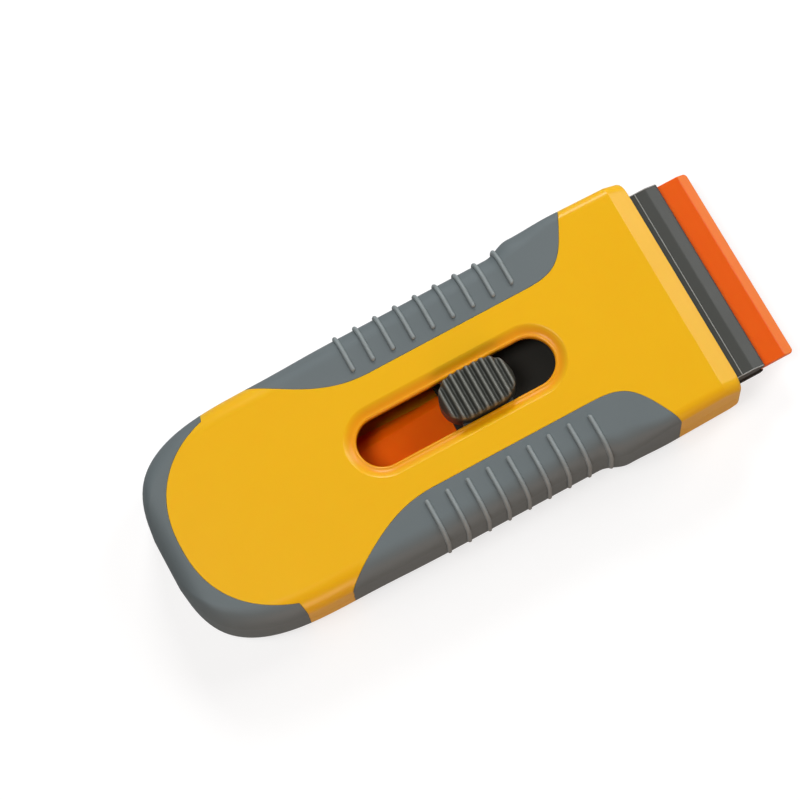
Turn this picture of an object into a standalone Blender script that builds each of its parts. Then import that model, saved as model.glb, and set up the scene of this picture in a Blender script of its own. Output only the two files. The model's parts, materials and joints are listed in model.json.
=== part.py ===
"""A plastic razor blade scraper with a sliding blade holder.

Metres, +Z up. The tool lies on its flat back. +X points to the blade, +Y is the tool's
left side, and the origin is in the plane of the back, under the middle of the whole tool.
"""

import math

import bmesh
import bpy
from mathutils import Matrix, Vector

MM = 0.001

# Fits shared by every piece
GAP = 0.3 * MM  # clearance between pieces that touch or slide
OVERRUN = 3.0 * MM  # how far a cutter runs past what it cuts
EMBED = 0.4 * MM  # how deep a fused feature starts inside what carries it

# Housing, outside
BODY_LENGTH = 104.7 * MM
BODY_THICKNESS = 14.5 * MM
HEAD_LENGTH = 23.3 * MM
HEAD_WALL = 2.3 * MM  # beside the mouth, at the front
HEAD_FLARE = 0.5 * MM  # how much wider each side is where the neck begins
NECK_LENGTH = 5.3 * MM
WAIST_HALF_WIDTH = 21.3 * MM
TAPER_LENGTH = 16.2 * MM
TAIL_LENGTH = 28.4 * MM
TAIL_HALF_WIDTH = 21.0 * MM
TAIL_TIP_HALF_WIDTH = 5.0 * MM
TAIL_ROUNDNESS = 3.2  # exponent of the tail's superellipse
SHOULDER_RADIUS = 4.0 * MM
HEAD_SHOULDER_RADIUS = 2.2 * MM
SHARPENING_LENGTH = 9.0 * MM  # over which the shoulder tightens in front of the neck
FRONT_CORNER_RADIUS = 0.9 * MM
FRONT_BEVEL_LENGTH = 3.5 * MM
FRONT_BEVEL_DEPTH = 2.0 * MM
BACK_BEVEL_LENGTH = 2.0 * MM
BACK_BEVEL_DEPTH = 1.0 * MM
SEAM_HEIGHT = 7.0 * MM

# Soft grips
GRIP_THICKNESS = 1.1 * MM
GRIP_INNER_HALF_WIDTH = 12.0 * MM
GRIP_PAST_NECK = 11.1 * MM  # how far the grip runs along the head
GRIP_FRONT_FLARE_LENGTH = 13.0 * MM
GRIP_REAR_PAST = 2.2 * MM  # behind the line where the tail begins
GRIP_REAR_FLARE_LENGTH = 21.7 * MM
GRIP_BACK_MARGIN = 4.0 * MM  # how far the grip reaches under the back, from the waist's side
GRIP_BACK_FLARE_LENGTH = 6.5 * MM
GRIP_BACK_STEP = 0.5 * MM  # how much shorter the grip's lower half is at each end
FRONT_FLARE_SHARES = ((0.57, 0.0), (0.65, 0.18))
REAR_FLARE_SHARES = ((0.335, 0.0), (0.564, 0.28))
RIB_COUNT = 9
RIB_BEHIND_NECK = 3.4 * MM  # from the neck's front to the first rib
RIB_REAR_MARGIN = 19.24 * MM  # from the last rib to the grip's rear end
RIB_WIDTH = 0.8 * MM
RIB_HEIGHT = 0.6 * MM
RIB_INNER_HALF_WIDTH = 13.45 * MM
RIB_FOOT_HEIGHT = 4.6 * MM
TAIL_RIM_AT_END = 3.6 * MM
TAIL_RIM_AT_SIDE = 0.7 * MM
TAIL_RIM_START_SHARE = 0.45
TAIL_RIM_ROUNDNESS = 2.3  # exponent of the superellipse where the tail grip begins

# Housing, inside
WALL_UNDER_GRIP = 1.0 * MM
CHANNEL_HALF_WIDTH = 6.9 * MM
CHANNEL_ROOF = 2.0 * MM
MOUTH_LIP = 3.0 * MM
MOUTH_HEIGHT = 7.1 * MM
GUIDE_THICKNESS = 0.9 * MM
GUIDE_INSET = 0.2 * MM
RAIL_HALF_SPACING = 13.5 * MM
RAIL_WIDTH = 1.4 * MM
RAIL_HEIGHT = 1.7 * MM

# Slot for the thumb button
SLOT_SETBACK = 26.4 * MM
SLOT_LENGTH = 39.1 * MM
SLOT_WIDTH = 9.4 * MM
SURROUND_MARGIN = 2.0 * MM
SURROUND_LEDGE = 0.9 * MM
SURROUND_DEPTH = 0.8 * MM

# Blade
BLADE_WIDTH = 39.0 * MM
BLADE_DEPTH = 19.0 * MM
BLADE_THICKNESS = 1.2 * MM
BLADE_EDGE = 0.3 * MM
BLADE_BEVEL = 1.9 * MM
BLADE_CORNER = 0.7 * MM
BLADE_REACH = 12.4 * MM  # from the head's front to the blade's edge, in the working place
NOTCH_WIDTH = 5.6 * MM
NOTCH_DEPTH = 1.3 * MM

# Blade carrier and its clamp
HOLDER_MARGIN = 0.2 * MM  # how far the holder reaches past the blade's ends
JAW_THICKNESS = 1.0 * MM
JAW_NOSE = 0.5 * MM
JAW_SETBACK = 0.1 * MM  # how far the lower jaw stops behind the clamp's lip
STOP_WALL = 0.95 * MM
BLADE_EXPOSED = 6.2 * MM  # from the clamp's lip to the blade's edge
CLAMP_THICKNESS = 2.1 * MM
LIP_LENGTH = 2.4 * MM
LIP_DROP = 0.9 * MM
LIP_BEND = 0.5 * MM  # half the length of the bend where the lip turns down
LIP_NOSE = 0.25 * MM
PIN_RADIUS = 0.8 * MM
PIN_SETBACK = 3.5 * MM  # behind the blade's rear edge
PIN_RISE = 3.6 * MM  # above the carrier's underside
KNUCKLE_RADIUS = 1.9 * MM
DECK_INSET = 2.2 * MM  # how much narrower the deck is than the holder, on each side
EAR_THICKNESS = 2.0 * MM
DECK_THICKNESS = 1.4 * MM
TONGUE_HALF_WIDTH = 7.8 * MM
CENTRE_KNUCKLE_HALF_WIDTH = 8.0 * MM
TONGUE_THICKNESS = 1.5 * MM
TONGUE_UNDER_BUTTON = 1.3 * MM  # how far the tongue stops short of the button's rear end

# Thumb button
TRAVEL_FORWARD = 7.8 * MM
BUTTON_LENGTH = 14.4 * MM
BUTTON_WIDTH = 8.8 * MM
BUTTON_PROUD = 2.0 * MM
BUTTON_END_DROP = 1.1 * MM
BUTTON_WING = 2.0 * MM
BUTTON_WING_LENGTH = 10.0 * MM
BUTTON_WING_THICKNESS = 1.5 * MM
BUTTON_TRAVEL = 1.2 * MM
STEM_RADIUS = 1.2 * MM
RIDGE_COUNT = 9
RIDGE_PITCH = 1.55 * MM
RIDGE_HEIGHT = 0.6 * MM
SPRING_WIRE = 0.5 * MM
SPRING_RADIUS = 2.25 * MM
SPRING_TURNS = 3

# Detent leaf and its rivet
WING_LENGTH = 6.6 * MM  # of the carrier's side wing, behind the pin
WING_WIDTH = 4.0 * MM
LEAF_WIDTH = 3.0 * MM
LEAF_THICKNESS = 0.35 * MM
LEAF_FOOT = 3.0 * MM
LEAF_REACH = 4.6 * MM
LEAF_TIP = 1.2 * MM
RIVET_RADIUS = 0.6 * MM
RIVET_HEAD_RADIUS = 1.2 * MM
RIVET_HEAD = 0.5 * MM
DETENT_HALF_SPACING = 1.3 * MM
DETENT_WIDTH = 0.8 * MM
DETENT_HEIGHT = 0.45 * MM

# Storage door and spare blades
DOOR_REAR_MARGIN = 0.8 * MM  # from the spare blades' rear ends to the door's axis
DOOR_FRONT_MARGIN = 1.5 * MM
DOOR_HALF_WIDTH = 10.4 * MM
DOOR_THICKNESS = 1.4 * MM
DOOR_AXIS_HEIGHT = 1.3 * MM
DOOR_LEDGE = 0.8 * MM
DOOR_PAD_HALF_SPACING = 4.0 * MM
DOOR_PAD_WIDTH = 1.2 * MM
DOOR_PAD_MARGIN = 3.0 * MM
TRUNNION_RADIUS = 0.5 * MM
TRUNNION_LENGTH = 1.6 * MM
FINGER_NOTCH_RADIUS = 5.0 * MM
FINGER_NOTCH_DEPTH = 1.2 * MM
SPARE_SHARE = 0.51  # of the body's length, from its front to the spare blades' middle
UPPER_SPARE_SIDE = -4.9 * MM
UPPER_SPARE_TURN = math.radians(3.2)
LOWER_SPARE_SIDE = -4.3 * MM
LOWER_SPARE_TURN = math.radians(-1.4)
BAY_RIB = 1.1 * MM
BAY_RIB_HALF_WIDTH = 11.0 * MM
BAY_REAR_RIB_HEIGHT = 2.6 * MM
BAY_FRONT_RIB_HEIGHT = 1.1 * MM

# Case screws
FRONT_SCREW_SETBACK = 31.6 * MM
FRONT_SCREW_SIDE = 14.6 * MM
REAR_SCREW_PAST = 9.6 * MM  # behind the line where the tail begins
REAR_SCREW_SIDE = 13.6 * MM
SCREW_RADIUS = 1.1 * MM
SCREW_HEAD_RADIUS = 2.2 * MM
SCREW_HEAD = 1.0 * MM
SCREW_LENGTH = 9.0 * MM
SCREW_TIP = 1.2 * MM
SCREW_SEAT = 0.8 * MM
DRIVE_WIDTH = 0.6 * MM
DRIVE_DEPTH = 0.7 * MM
DRIVE_SHARE = 0.7  # of the head's diameter
BOSS_WALL = 0.9 * MM
LOWER_BOSS_HEIGHT = 2.4 * MM  # above the floor

# Faces on round shapes
CORNER_STEPS = 6
CURVE_STEPS = 12
ROUND_STEPS = 16
COIL_STEPS = 12
SMOOTH_ANGLE = math.radians(35)

# Places worked out from the sizes above
HOLDER_HALF_WIDTH = BLADE_WIDTH / 2 + HOLDER_MARGIN
CARRIER_HALF_WIDTH = HOLDER_HALF_WIDTH - DECK_INSET
HEAD_HALF_WIDTH = HOLDER_HALF_WIDTH + GAP + HEAD_WALL  # at the front

TAIL_X = -(BODY_LENGTH + BLADE_REACH) / 2
FRONT_X = TAIL_X + BODY_LENGTH
NECK_FRONT_X = FRONT_X - HEAD_LENGTH
NECK_REAR_X = NECK_FRONT_X - NECK_LENGTH
TAIL_CENTRE_X = TAIL_X + TAIL_LENGTH
TAPER_FRONT_X = TAIL_CENTRE_X + TAPER_LENGTH
OUTSIDE = max(HEAD_HALF_WIDTH, WAIST_HALF_WIDTH) + OVERRUN
ABOVE = BODY_THICKNESS + OVERRUN

GRIP_FRONT_X = NECK_FRONT_X + GRIP_PAST_NECK
GRIP_REAR_X = TAIL_CENTRE_X - GRIP_REAR_PAST
FIRST_RIB_X = NECK_FRONT_X - RIB_BEHIND_NECK
RIB_PITCH = (FIRST_RIB_X - GRIP_REAR_X - RIB_REAR_MARGIN) / (RIB_COUNT - 1)

RECESS = GRIP_THICKNESS + GAP
WALL = RECESS + WALL_UNDER_GRIP
ROOF = BODY_THICKNESS - WALL
CHANNEL_TOP = BODY_THICKNESS - CHANNEL_ROOF

CARRIER_BOTTOM = WALL + RAIL_HEIGHT + GAP
JAW_TOP = CARRIER_BOTTOM + JAW_THICKNESS
BLADE_BOTTOM = JAW_TOP + GAP
BLADE_TOP = BLADE_BOTTOM + BLADE_THICKNESS
CLAMP_BOTTOM = BLADE_TOP + GAP
CLAMP_TOP = CLAMP_BOTTOM + CLAMP_THICKNESS
BLADE_FRONT_X = FRONT_X + BLADE_REACH
BLADE_REAR_X = BLADE_FRONT_X - BLADE_DEPTH
LIP_FRONT_X = BLADE_FRONT_X - BLADE_EXPOSED
STOP_FRONT_X = BLADE_REAR_X - GAP
STOP_REAR_X = STOP_FRONT_X - STOP_WALL
PIN_X = BLADE_REAR_X - PIN_SETBACK
PIN_Z = CARRIER_BOTTOM + PIN_RISE
PIN_HOLE = PIN_RADIUS + GAP
KNUCKLE_REAR_X = PIN_X - KNUCKLE_RADIUS
KNUCKLE_FRONT_X = PIN_X + KNUCKLE_RADIUS
CLAMP_REAR_X = KNUCKLE_FRONT_X + 2 * GAP
EAR_INNER = CARRIER_HALF_WIDTH - EAR_THICKNESS
DECK_TOP = CARRIER_BOTTOM + DECK_THICKNESS
DECK_REAR_X = KNUCKLE_REAR_X + EMBED

SLOT_FRONT_X = FRONT_X - SLOT_SETBACK
SLOT_CENTRE_X = SLOT_FRONT_X - SLOT_LENGTH / 2
BUTTON_FRONT_X = SLOT_FRONT_X - GAP - TRAVEL_FORWARD
BUTTON_X = BUTTON_FRONT_X - BUTTON_LENGTH / 2
BUTTON_TOP = BODY_THICKNESS + BUTTON_PROUD
WING_TOP = CHANNEL_TOP - GAP
WING_BOTTOM = WING_TOP - BUTTON_WING_THICKNESS

SPARE_X = FRONT_X - SPARE_SHARE * BODY_LENGTH
LOWER_SPARE_BOTTOM = WALL + GAP
UPPER_SPARE_BOTTOM = LOWER_SPARE_BOTTOM + BLADE_THICKNESS + GAP
TONGUE_BOTTOM = UPPER_SPARE_BOTTOM + BLADE_THICKNESS + GAP
TONGUE_TOP = TONGUE_BOTTOM + TONGUE_THICKNESS
TONGUE_REAR_X = BUTTON_X - BUTTON_LENGTH / 2 + TONGUE_UNDER_BUTTON
STEM_BOTTOM = TONGUE_BOTTOM + BUTTON_TRAVEL

WING_REAR_X = PIN_X - WING_LENGTH
LEAF_SEAT = DECK_TOP + EMBED / 2
LEAF_Y = CENTRE_KNUCKLE_HALF_WIDTH + GAP + LEAF_WIDTH / 2
LEAF_BOTTOM = LEAF_SEAT + GAP
LEAF_FRONT_X = KNUCKLE_REAR_X - GAP
LEAF_BEND_X = LEAF_FRONT_X - LEAF_FOOT
LEAF_CREST_X = LEAF_BEND_X - LEAF_REACH
LEAF_CREST_Z = ROOF - GAP - LEAF_THICKNESS
RIVET_X = LEAF_FRONT_X - LEAF_FOOT / 2
TRAVEL_BACK = SLOT_LENGTH - BUTTON_LENGTH - TRAVEL_FORWARD - 2 * GAP

DOOR_AXIS_X = SPARE_X - BLADE_WIDTH / 2 - DOOR_REAR_MARGIN
DOOR_FRONT_X = SPARE_X + BLADE_WIDTH / 2 + DOOR_FRONT_MARGIN
DOOR_BOTTOM = GAP
DOOR_TOP = DOOR_BOTTOM + DOOR_THICKNESS
DOOR_EDGE_RADIUS = DOOR_AXIS_HEIGHT - DOOR_BOTTOM

SCREW_HOLE = SCREW_RADIUS + GAP
COUNTERBORE_RADIUS = SCREW_HEAD_RADIUS + GAP
COUNTERBORE_TOP = WALL - SCREW_SEAT
SCREW_HEAD_TOP = COUNTERBORE_TOP - GAP
LOWER_BOSS_TOP = WALL + LOWER_BOSS_HEIGHT
SCREW_PLACES = {
    "front_left_screw": (FRONT_X - FRONT_SCREW_SETBACK, FRONT_SCREW_SIDE),
    "front_right_screw": (FRONT_X - FRONT_SCREW_SETBACK, -FRONT_SCREW_SIDE),
    "rear_left_screw": (TAIL_CENTRE_X - REAR_SCREW_PAST, REAR_SCREW_SIDE),
    "rear_right_screw": (TAIL_CENTRE_X - REAR_SCREW_PAST, -REAR_SCREW_SIDE),
}

ALONG_Y = Matrix.Rotation(math.pi / 2, 4, "X")


def clear_scene():
    """Removes whatever the scene holds."""
    for old in list(bpy.data.objects):
        bpy.data.objects.remove(old)


def finish(name, colour, roughness, metallic=0.0):
    """A plain material with one colour."""
    material = bpy.data.materials.new(name)
    material.use_nodes = True
    shader = material.node_tree.nodes["Principled BSDF"]
    shader.inputs["Base Color"].default_value = (*colour, 1.0)
    shader.inputs["Roughness"].default_value = roughness
    shader.inputs["Metallic"].default_value = metallic
    return material


def to_object(name, shape, material=None):
    """Turns a bmesh into an object; one without a material is a guide that isn't part of the tool."""
    bmesh.ops.recalc_face_normals(shape, faces=shape.faces)
    mesh = bpy.data.meshes.new(name)
    shape.to_mesh(mesh)
    shape.free()
    made = bpy.data.objects.new(name, mesh)
    bpy.context.scene.collection.objects.link(made)
    if material:
        mesh.materials.append(material)
        mesh.shade_smooth()
        mesh.set_sharp_from_angle(angle=SMOOTH_ANGLE)
    else:
        made.hide_render = True
        made.display_type = "WIRE"
    return made


def shape_with(target, tool, operation):
    """Adds one Boolean step to target and parents the tool to it, so that they stay together."""
    step = target.modifiers.new(tool.name, "BOOLEAN")
    step.operation = operation
    step.solver = "EXACT"
    step.object = tool
    tool.parent = target


def fuse(target, *tools):
    for tool in tools:
        shape_with(target, tool, "UNION")


def cut(target, *tools):
    for tool in tools:
        shape_with(target, tool, "DIFFERENCE")


def keep(target, tool):
    shape_with(target, tool, "INTERSECT")


def add_block(shape, x_span, y_span, z_span):
    """A box between two x, two y and two z values."""
    size = Vector((x_span[1] - x_span[0], y_span[1] - y_span[0], z_span[1] - z_span[0]))
    centre = Vector((sum(x_span) / 2, sum(y_span) / 2, sum(z_span) / 2))
    place = Matrix.Translation(centre) @ Matrix.Diagonal((*size, 1.0))
    bmesh.ops.create_cube(shape, size=1.0, matrix=place)


def block(x_span, y_span, z_span):
    shape = bmesh.new()
    add_block(shape, x_span, y_span, z_span)
    return shape


def add_prism(shape, outline, lift):
    """A flat outline of 3D points, and its copy moved by lift, joined all round."""
    low = [shape.verts.new(point) for point in outline]
    high = [shape.verts.new(Vector(point) + lift) for point in outline]
    shape.faces.new(reversed(low))
    shape.faces.new(high)
    for i in range(len(low)):
        j = (i + 1) % len(low)
        shape.faces.new((low[i], low[j], high[j], high[i]))


def plan_prism(outline, z_span):
    """An outline in plan, extruded between two heights."""
    shape = bmesh.new()
    points = [Vector((x, y, z_span[0])) for x, y in outline]
    add_prism(shape, points, Vector((0, 0, z_span[1] - z_span[0])))
    return shape


def side_prism(outline, y_span):
    """An outline seen from the side, as x and z, extruded across the tool."""
    shape = bmesh.new()
    points = [Vector((x, y_span[0], z)) for x, z in outline]
    add_prism(shape, points, Vector((0, y_span[1] - y_span[0], 0)))
    return shape


def add_rod(shape, radius, centre, length, turn=None):
    """A round rod about its centre, upright unless turned."""
    place = Matrix.Translation(centre) @ (turn or Matrix.Identity(4))
    bmesh.ops.create_cone(
        shape,
        cap_ends=True,
        segments=ROUND_STEPS,
        radius1=radius,
        radius2=radius,
        depth=length,
        matrix=place,
    )


def upright_rod(radius, x, y, z_span):
    shape = bmesh.new()
    add_rod(shape, radius, Vector((x, y, sum(z_span) / 2)), z_span[1] - z_span[0])
    return shape


def cross_rod(radius, x, z, y_span):
    """A round rod that lies across the tool."""
    shape = bmesh.new()
    add_rod(shape, radius, Vector((x, sum(y_span) / 2, z)), y_span[1] - y_span[0], ALONG_Y)
    return shape


def turned(profile):
    """A solid of revolution about Z from radius and height pairs that start and end on the axis."""
    shape = bmesh.new()
    rings = []
    for radius, height in profile:
        if radius == 0:
            rings.append([shape.verts.new((0, 0, height))])
            continue
        circle = arc((0, 0), radius, 0, math.tau, ROUND_STEPS)[:-1]
        rings.append([shape.verts.new((x, y, height)) for x, y in circle])
    for low, high in zip(rings, rings[1:]):
        for i in range(ROUND_STEPS):
            j = (i + 1) % ROUND_STEPS
            corners = [low[i % len(low)], low[j % len(low)], high[j % len(high)], high[i % len(high)]]
            shape.faces.new(list(dict.fromkeys(corners)))
    return shape


def loft(rings):
    """Joins rings of equally many points and closes both ends."""
    shape = bmesh.new()
    rows = [[shape.verts.new(point) for point in ring] for ring in rings]
    for near, far in zip(rows, rows[1:]):
        for i in range(len(near)):
            j = (i + 1) % len(near)
            shape.faces.new((near[i], near[j], far[j], far[i]))
    shape.faces.new(reversed(rows[0]))
    shape.faces.new(rows[-1])
    return shape


def bezier(start, first, second, end, steps):
    """Points along a cubic curve, both ends included."""
    points = []
    for i in range(steps + 1):
        t = i / steps
        s = 1 - t
        weights = (s**3, 3 * s * s * t, 3 * s * t * t, t**3)
        corners = (start, first, second, end)
        points.append(tuple(sum(w * c[k] for w, c in zip(weights, corners)) for k in (0, 1)))
    return points


def arc(centre, radius, from_angle, to_angle, steps):
    """Points along an arc, both ends included."""
    angles = [from_angle + (to_angle - from_angle) * i / steps for i in range(steps + 1)]
    return [(centre[0] + radius * math.cos(a), centre[1] + radius * math.sin(a)) for a in angles]


def stadium(centre_x, length, width):
    """A long hole's outline, round at both ends."""
    radius = width / 2
    reach = length / 2 - radius
    front = arc((centre_x + reach, 0), radius, -math.pi / 2, math.pi / 2, CURVE_STEPS)
    rear = arc((centre_x - reach, 0), radius, math.pi / 2, 3 * math.pi / 2, CURVE_STEPS)
    return front + rear


def ease(share):
    """A smooth step from 0 to 1."""
    return (1 - math.cos(math.pi * share)) / 2


def superellipse(distance, reach, side, roundness):
    """Half the tail's width at a distance behind its centre."""
    share = min(distance / reach, 1.0)
    return side * (1 - share**roundness) ** (1 / roundness)


def half_width(x, inset):
    """Half the housing's width at x, drawn in by inset."""
    if x >= NECK_FRONT_X:
        return HEAD_HALF_WIDTH + HEAD_FLARE * (FRONT_X - x) / HEAD_LENGTH - inset
    if x >= NECK_REAR_X:
        share = ease((x - NECK_REAR_X) / NECK_LENGTH)
        return WAIST_HALF_WIDTH + (HEAD_HALF_WIDTH + HEAD_FLARE - WAIST_HALF_WIDTH) * share - inset
    if x >= TAPER_FRONT_X:
        return WAIST_HALF_WIDTH - inset
    if x >= TAIL_CENTRE_X:
        share = ease((x - TAIL_CENTRE_X) / TAPER_LENGTH)
        return TAIL_HALF_WIDTH + (WAIST_HALF_WIDTH - TAIL_HALF_WIDTH) * share - inset
    reach = TAIL_CENTRE_X - TAIL_X - inset
    width = superellipse(TAIL_CENTRE_X - x, reach, TAIL_HALF_WIDTH - inset, TAIL_ROUNDNESS)
    return max(width, TAIL_TIP_HALF_WIDTH)


def rounding(distance, radius):
    """How far an edge of this radius has drawn in, at a distance from the end."""
    left = radius - min(max(distance, 0.0), radius)
    return radius - math.sqrt(radius**2 - left**2)


def shoulder_radius(x):
    """The shoulder's radius at x: wide along the grips, tighter at the head's front."""
    share = ease(min(max((x - NECK_FRONT_X) / SHARPENING_LENGTH, 0.0), 1.0))
    return SHOULDER_RADIUS + (HEAD_SHOULDER_RADIUS - SHOULDER_RADIUS) * share


def section(x, inset, corner_at_front):
    """The housing's cross-section at x, drawn in by inset."""
    from_front = FRONT_X - x
    from_tail = x - TAIL_X - inset
    radius = max(shoulder_radius(x) - inset, EMBED)
    side = half_width(x, inset)
    low = inset + rounding(from_tail, radius)
    high = BODY_THICKNESS - low
    if corner_at_front:
        side -= rounding(from_front, FRONT_CORNER_RADIUS)
        high -= FRONT_BEVEL_DEPTH * max(0.0, 1 - from_front / FRONT_BEVEL_LENGTH)
        low += BACK_BEVEL_DEPTH * max(0.0, 1 - from_front / BACK_BEVEL_LENGTH)
    radius = min(radius, side, (high - low) / 2)
    corners = (
        ((side - radius, low + radius), -math.pi / 2),
        ((side - radius, high - radius), 0.0),
        ((radius - side, high - radius), math.pi / 2),
        ((radius - side, low + radius), math.pi),
    )
    points = []
    for centre, start in corners:
        points += arc(centre, radius, start, start + math.pi / 2, CORNER_STEPS)
    return [Vector((x, y, z)) for y, z in points]


def stations(inset):
    """Where the housing's cross-sections stand, from the tail to the head's straight part."""
    reach = TAIL_CENTRE_X - TAIL_X - inset
    turn = [math.pi / 2 * (1 - i / CURVE_STEPS) for i in range(CURVE_STEPS + 1)]
    tail = [TAIL_CENTRE_X - reach * math.sin(a) for a in turn]
    taper = [TAIL_CENTRE_X + TAPER_LENGTH * i / CORNER_STEPS for i in range(1, CORNER_STEPS + 1)]
    neck = [NECK_REAR_X + NECK_LENGTH * i / CORNER_STEPS for i in range(CORNER_STEPS + 1)]
    head = [NECK_FRONT_X + SHARPENING_LENGTH * i / CORNER_STEPS for i in range(1, CORNER_STEPS + 1)]
    return tail + taper + neck + head


def housing_solid():
    """The whole housing's outside, from the tail to the bevelled front."""
    front = [
        FRONT_X - max(FRONT_BEVEL_LENGTH, FRONT_CORNER_RADIUS),
        FRONT_X - FRONT_CORNER_RADIUS,
        FRONT_X - BACK_BEVEL_LENGTH,
    ]
    corner = [math.pi / 2 * i / CORNER_STEPS for i in range(1, CORNER_STEPS + 1)]
    front += [FRONT_X - FRONT_CORNER_RADIUS * (1 - math.sin(a)) for a in corner]
    places = sorted(set(stations(0.0) + front))
    return loft([section(x, 0.0, True) for x in places])


def housing_core(inset, front_x):
    """The housing's inside at a depth under its surface, up to front_x."""
    return loft([section(x, inset, False) for x in stations(inset) + [front_x]])


def grow_outline(outline, distance):
    """Moves an outline's points outwards; it runs anticlockwise."""
    grown = []
    for i, point in enumerate(outline):
        before = Vector(point) - Vector(outline[i - 1])
        after = Vector(outline[(i + 1) % len(outline)]) - Vector(point)
        along = before.normalized() + after.normalized()
        out = Vector((along.y, -along.x)).normalized()
        lean = out.dot(Vector((after.y, -after.x)).normalized())
        grown.append(tuple(Vector(point) + out * distance / lean))
    return grown


def flare(corner_x, end_x, inner, outer, shares):
    """The curve on which a grip's edge turns from its straight part out to the side."""
    length = end_x - corner_x
    rise = outer - inner
    handles = [(corner_x + along * length, inner + up * rise) for along, up in shares]
    return bezier((corner_x, inner), *handles, (end_x, outer), CURVE_STEPS)


def side_grip_outline(inner, front_x, rear_x, front_length, rear_length, side):
    """A side grip seen from above: straight inside, flaring out at both ends."""
    front_top = HEAD_HALF_WIDTH + OVERRUN / 2
    front = flare(front_x - front_length, front_x, inner, front_top, FRONT_FLARE_SHARES)
    rear = flare(rear_x + rear_length, rear_x, inner, WAIST_HALF_WIDTH, REAR_FLARE_SHARES)
    outline = [(front_x, OUTSIDE), (rear_x, OUTSIDE)] + rear[::-1] + front
    if side > 0:
        return outline
    return [(x, -y) for x, y in reversed(outline)]


def side_grip_region(name, side, grow):
    """The part of the housing's skin that a side grip takes, wide on top and narrow on the back."""
    top = side_grip_outline(
        GRIP_INNER_HALF_WIDTH,
        GRIP_FRONT_X,
        GRIP_REAR_X,
        GRIP_FRONT_FLARE_LENGTH,
        GRIP_REAR_FLARE_LENGTH,
        side,
    )
    back = side_grip_outline(
        WAIST_HALF_WIDTH - GRIP_BACK_MARGIN,
        GRIP_FRONT_X - GRIP_BACK_STEP,
        GRIP_REAR_X + GRIP_BACK_STEP,
        GRIP_BACK_FLARE_LENGTH,
        GRIP_BACK_FLARE_LENGTH,
        side,
    )
    region = to_object(name, plan_prism(grow_outline(top, grow), (SEAM_HEIGHT, ABOVE)))
    under = plan_prism(grow_outline(back, grow), (-OVERRUN, SEAM_HEIGHT + EMBED))
    fuse(region, to_object(name + "_back", under))
    return region


def tail_grip_region(name, grow):
    """The part of the housing's skin that the tail grip takes."""
    reach = TAIL_CENTRE_X - TAIL_X - TAIL_RIM_AT_END
    side = TAIL_HALF_WIDTH - TAIL_RIM_AT_SIDE
    start = math.asin(TAIL_RIM_START_SHARE)
    angles = [start + (math.pi / 2 - start) * i / CURVE_STEPS for i in range(CURVE_STEPS + 1)]
    behind = [reach * math.sin(a) for a in angles]
    left = [(TAIL_CENTRE_X - d, superellipse(d, reach, side, TAIL_RIM_ROUNDNESS)) for d in behind]
    right = [(x, -y) for x, y in left[:-1]]
    start_x = left[0][0] + TAIL_RIM_AT_END / 2
    far_x = TAIL_X - OVERRUN
    outline = [(start_x, OUTSIDE), (far_x, OUTSIDE), (far_x, -OUTSIDE), (start_x, -OUTSIDE)]
    outline += right + left[::-1]
    return to_object(name, plan_prism(grow_outline(outline, grow), (-OVERRUN, ABOVE)))


def grip_ribs(name, side):
    """Narrow ribs that run from the top of a side grip round its shoulder and down its side."""
    shape = bmesh.new()
    for i in range(RIB_COUNT):
        x = FIRST_RIB_X - i * RIB_PITCH
        outer = half_width(x, 0.0)
        centre = (outer - SHOULDER_RADIUS, BODY_THICKNESS - SHOULDER_RADIUS)
        proud = arc(centre, SHOULDER_RADIUS + RIB_HEIGHT, 0, math.pi / 2, CORNER_STEPS)
        sunk = arc(centre, SHOULDER_RADIUS - EMBED, math.pi / 2, 0, CORNER_STEPS)
        outline = [(outer + RIB_HEIGHT, RIB_FOOT_HEIGHT)] + proud
        outline += [(RIB_INNER_HALF_WIDTH, BODY_THICKNESS + RIB_HEIGHT)]
        outline += [(RIB_INNER_HALF_WIDTH, BODY_THICKNESS - EMBED)] + sunk
        outline += [(outer - EMBED, RIB_FOOT_HEIGHT)]
        points = [Vector((x - RIB_WIDTH / 2, side * y, z)) for y, z in outline]
        add_prism(shape, points, Vector((RIB_WIDTH, 0, 0)))
    return to_object(name, shape)


def make_grips(material):
    """The two side grips and the tail grip, each a skin let into the housing."""
    core = to_object("grip_core", housing_core(GRIP_THICKNESS, GRIP_FRONT_X + OVERRUN))
    for name, side in (("left_grip", 1), ("right_grip", -1)):
        grip = to_object(name, housing_solid(), material)
        keep(grip, side_grip_region(name + "_region", side, 0.0))
        cut(grip, core)
        fuse(grip, grip_ribs(name + "_ribs", side))
    tail = to_object("tail_grip", housing_solid(), material)
    keep(tail, tail_grip_region("tail_grip_region", 0.0))
    cut(tail, core)


def grip_recesses():
    """What the grips need cut out of the two shells."""
    core = to_object("recess_core", housing_core(RECESS, GRIP_FRONT_X + 2 * OVERRUN))
    recesses = [
        side_grip_region("left_recess", 1, GAP),
        side_grip_region("right_recess", -1, GAP),
        tail_grip_region("tail_recess", GAP),
    ]
    for recess in recesses:
        cut(recess, core)
    return recesses


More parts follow.
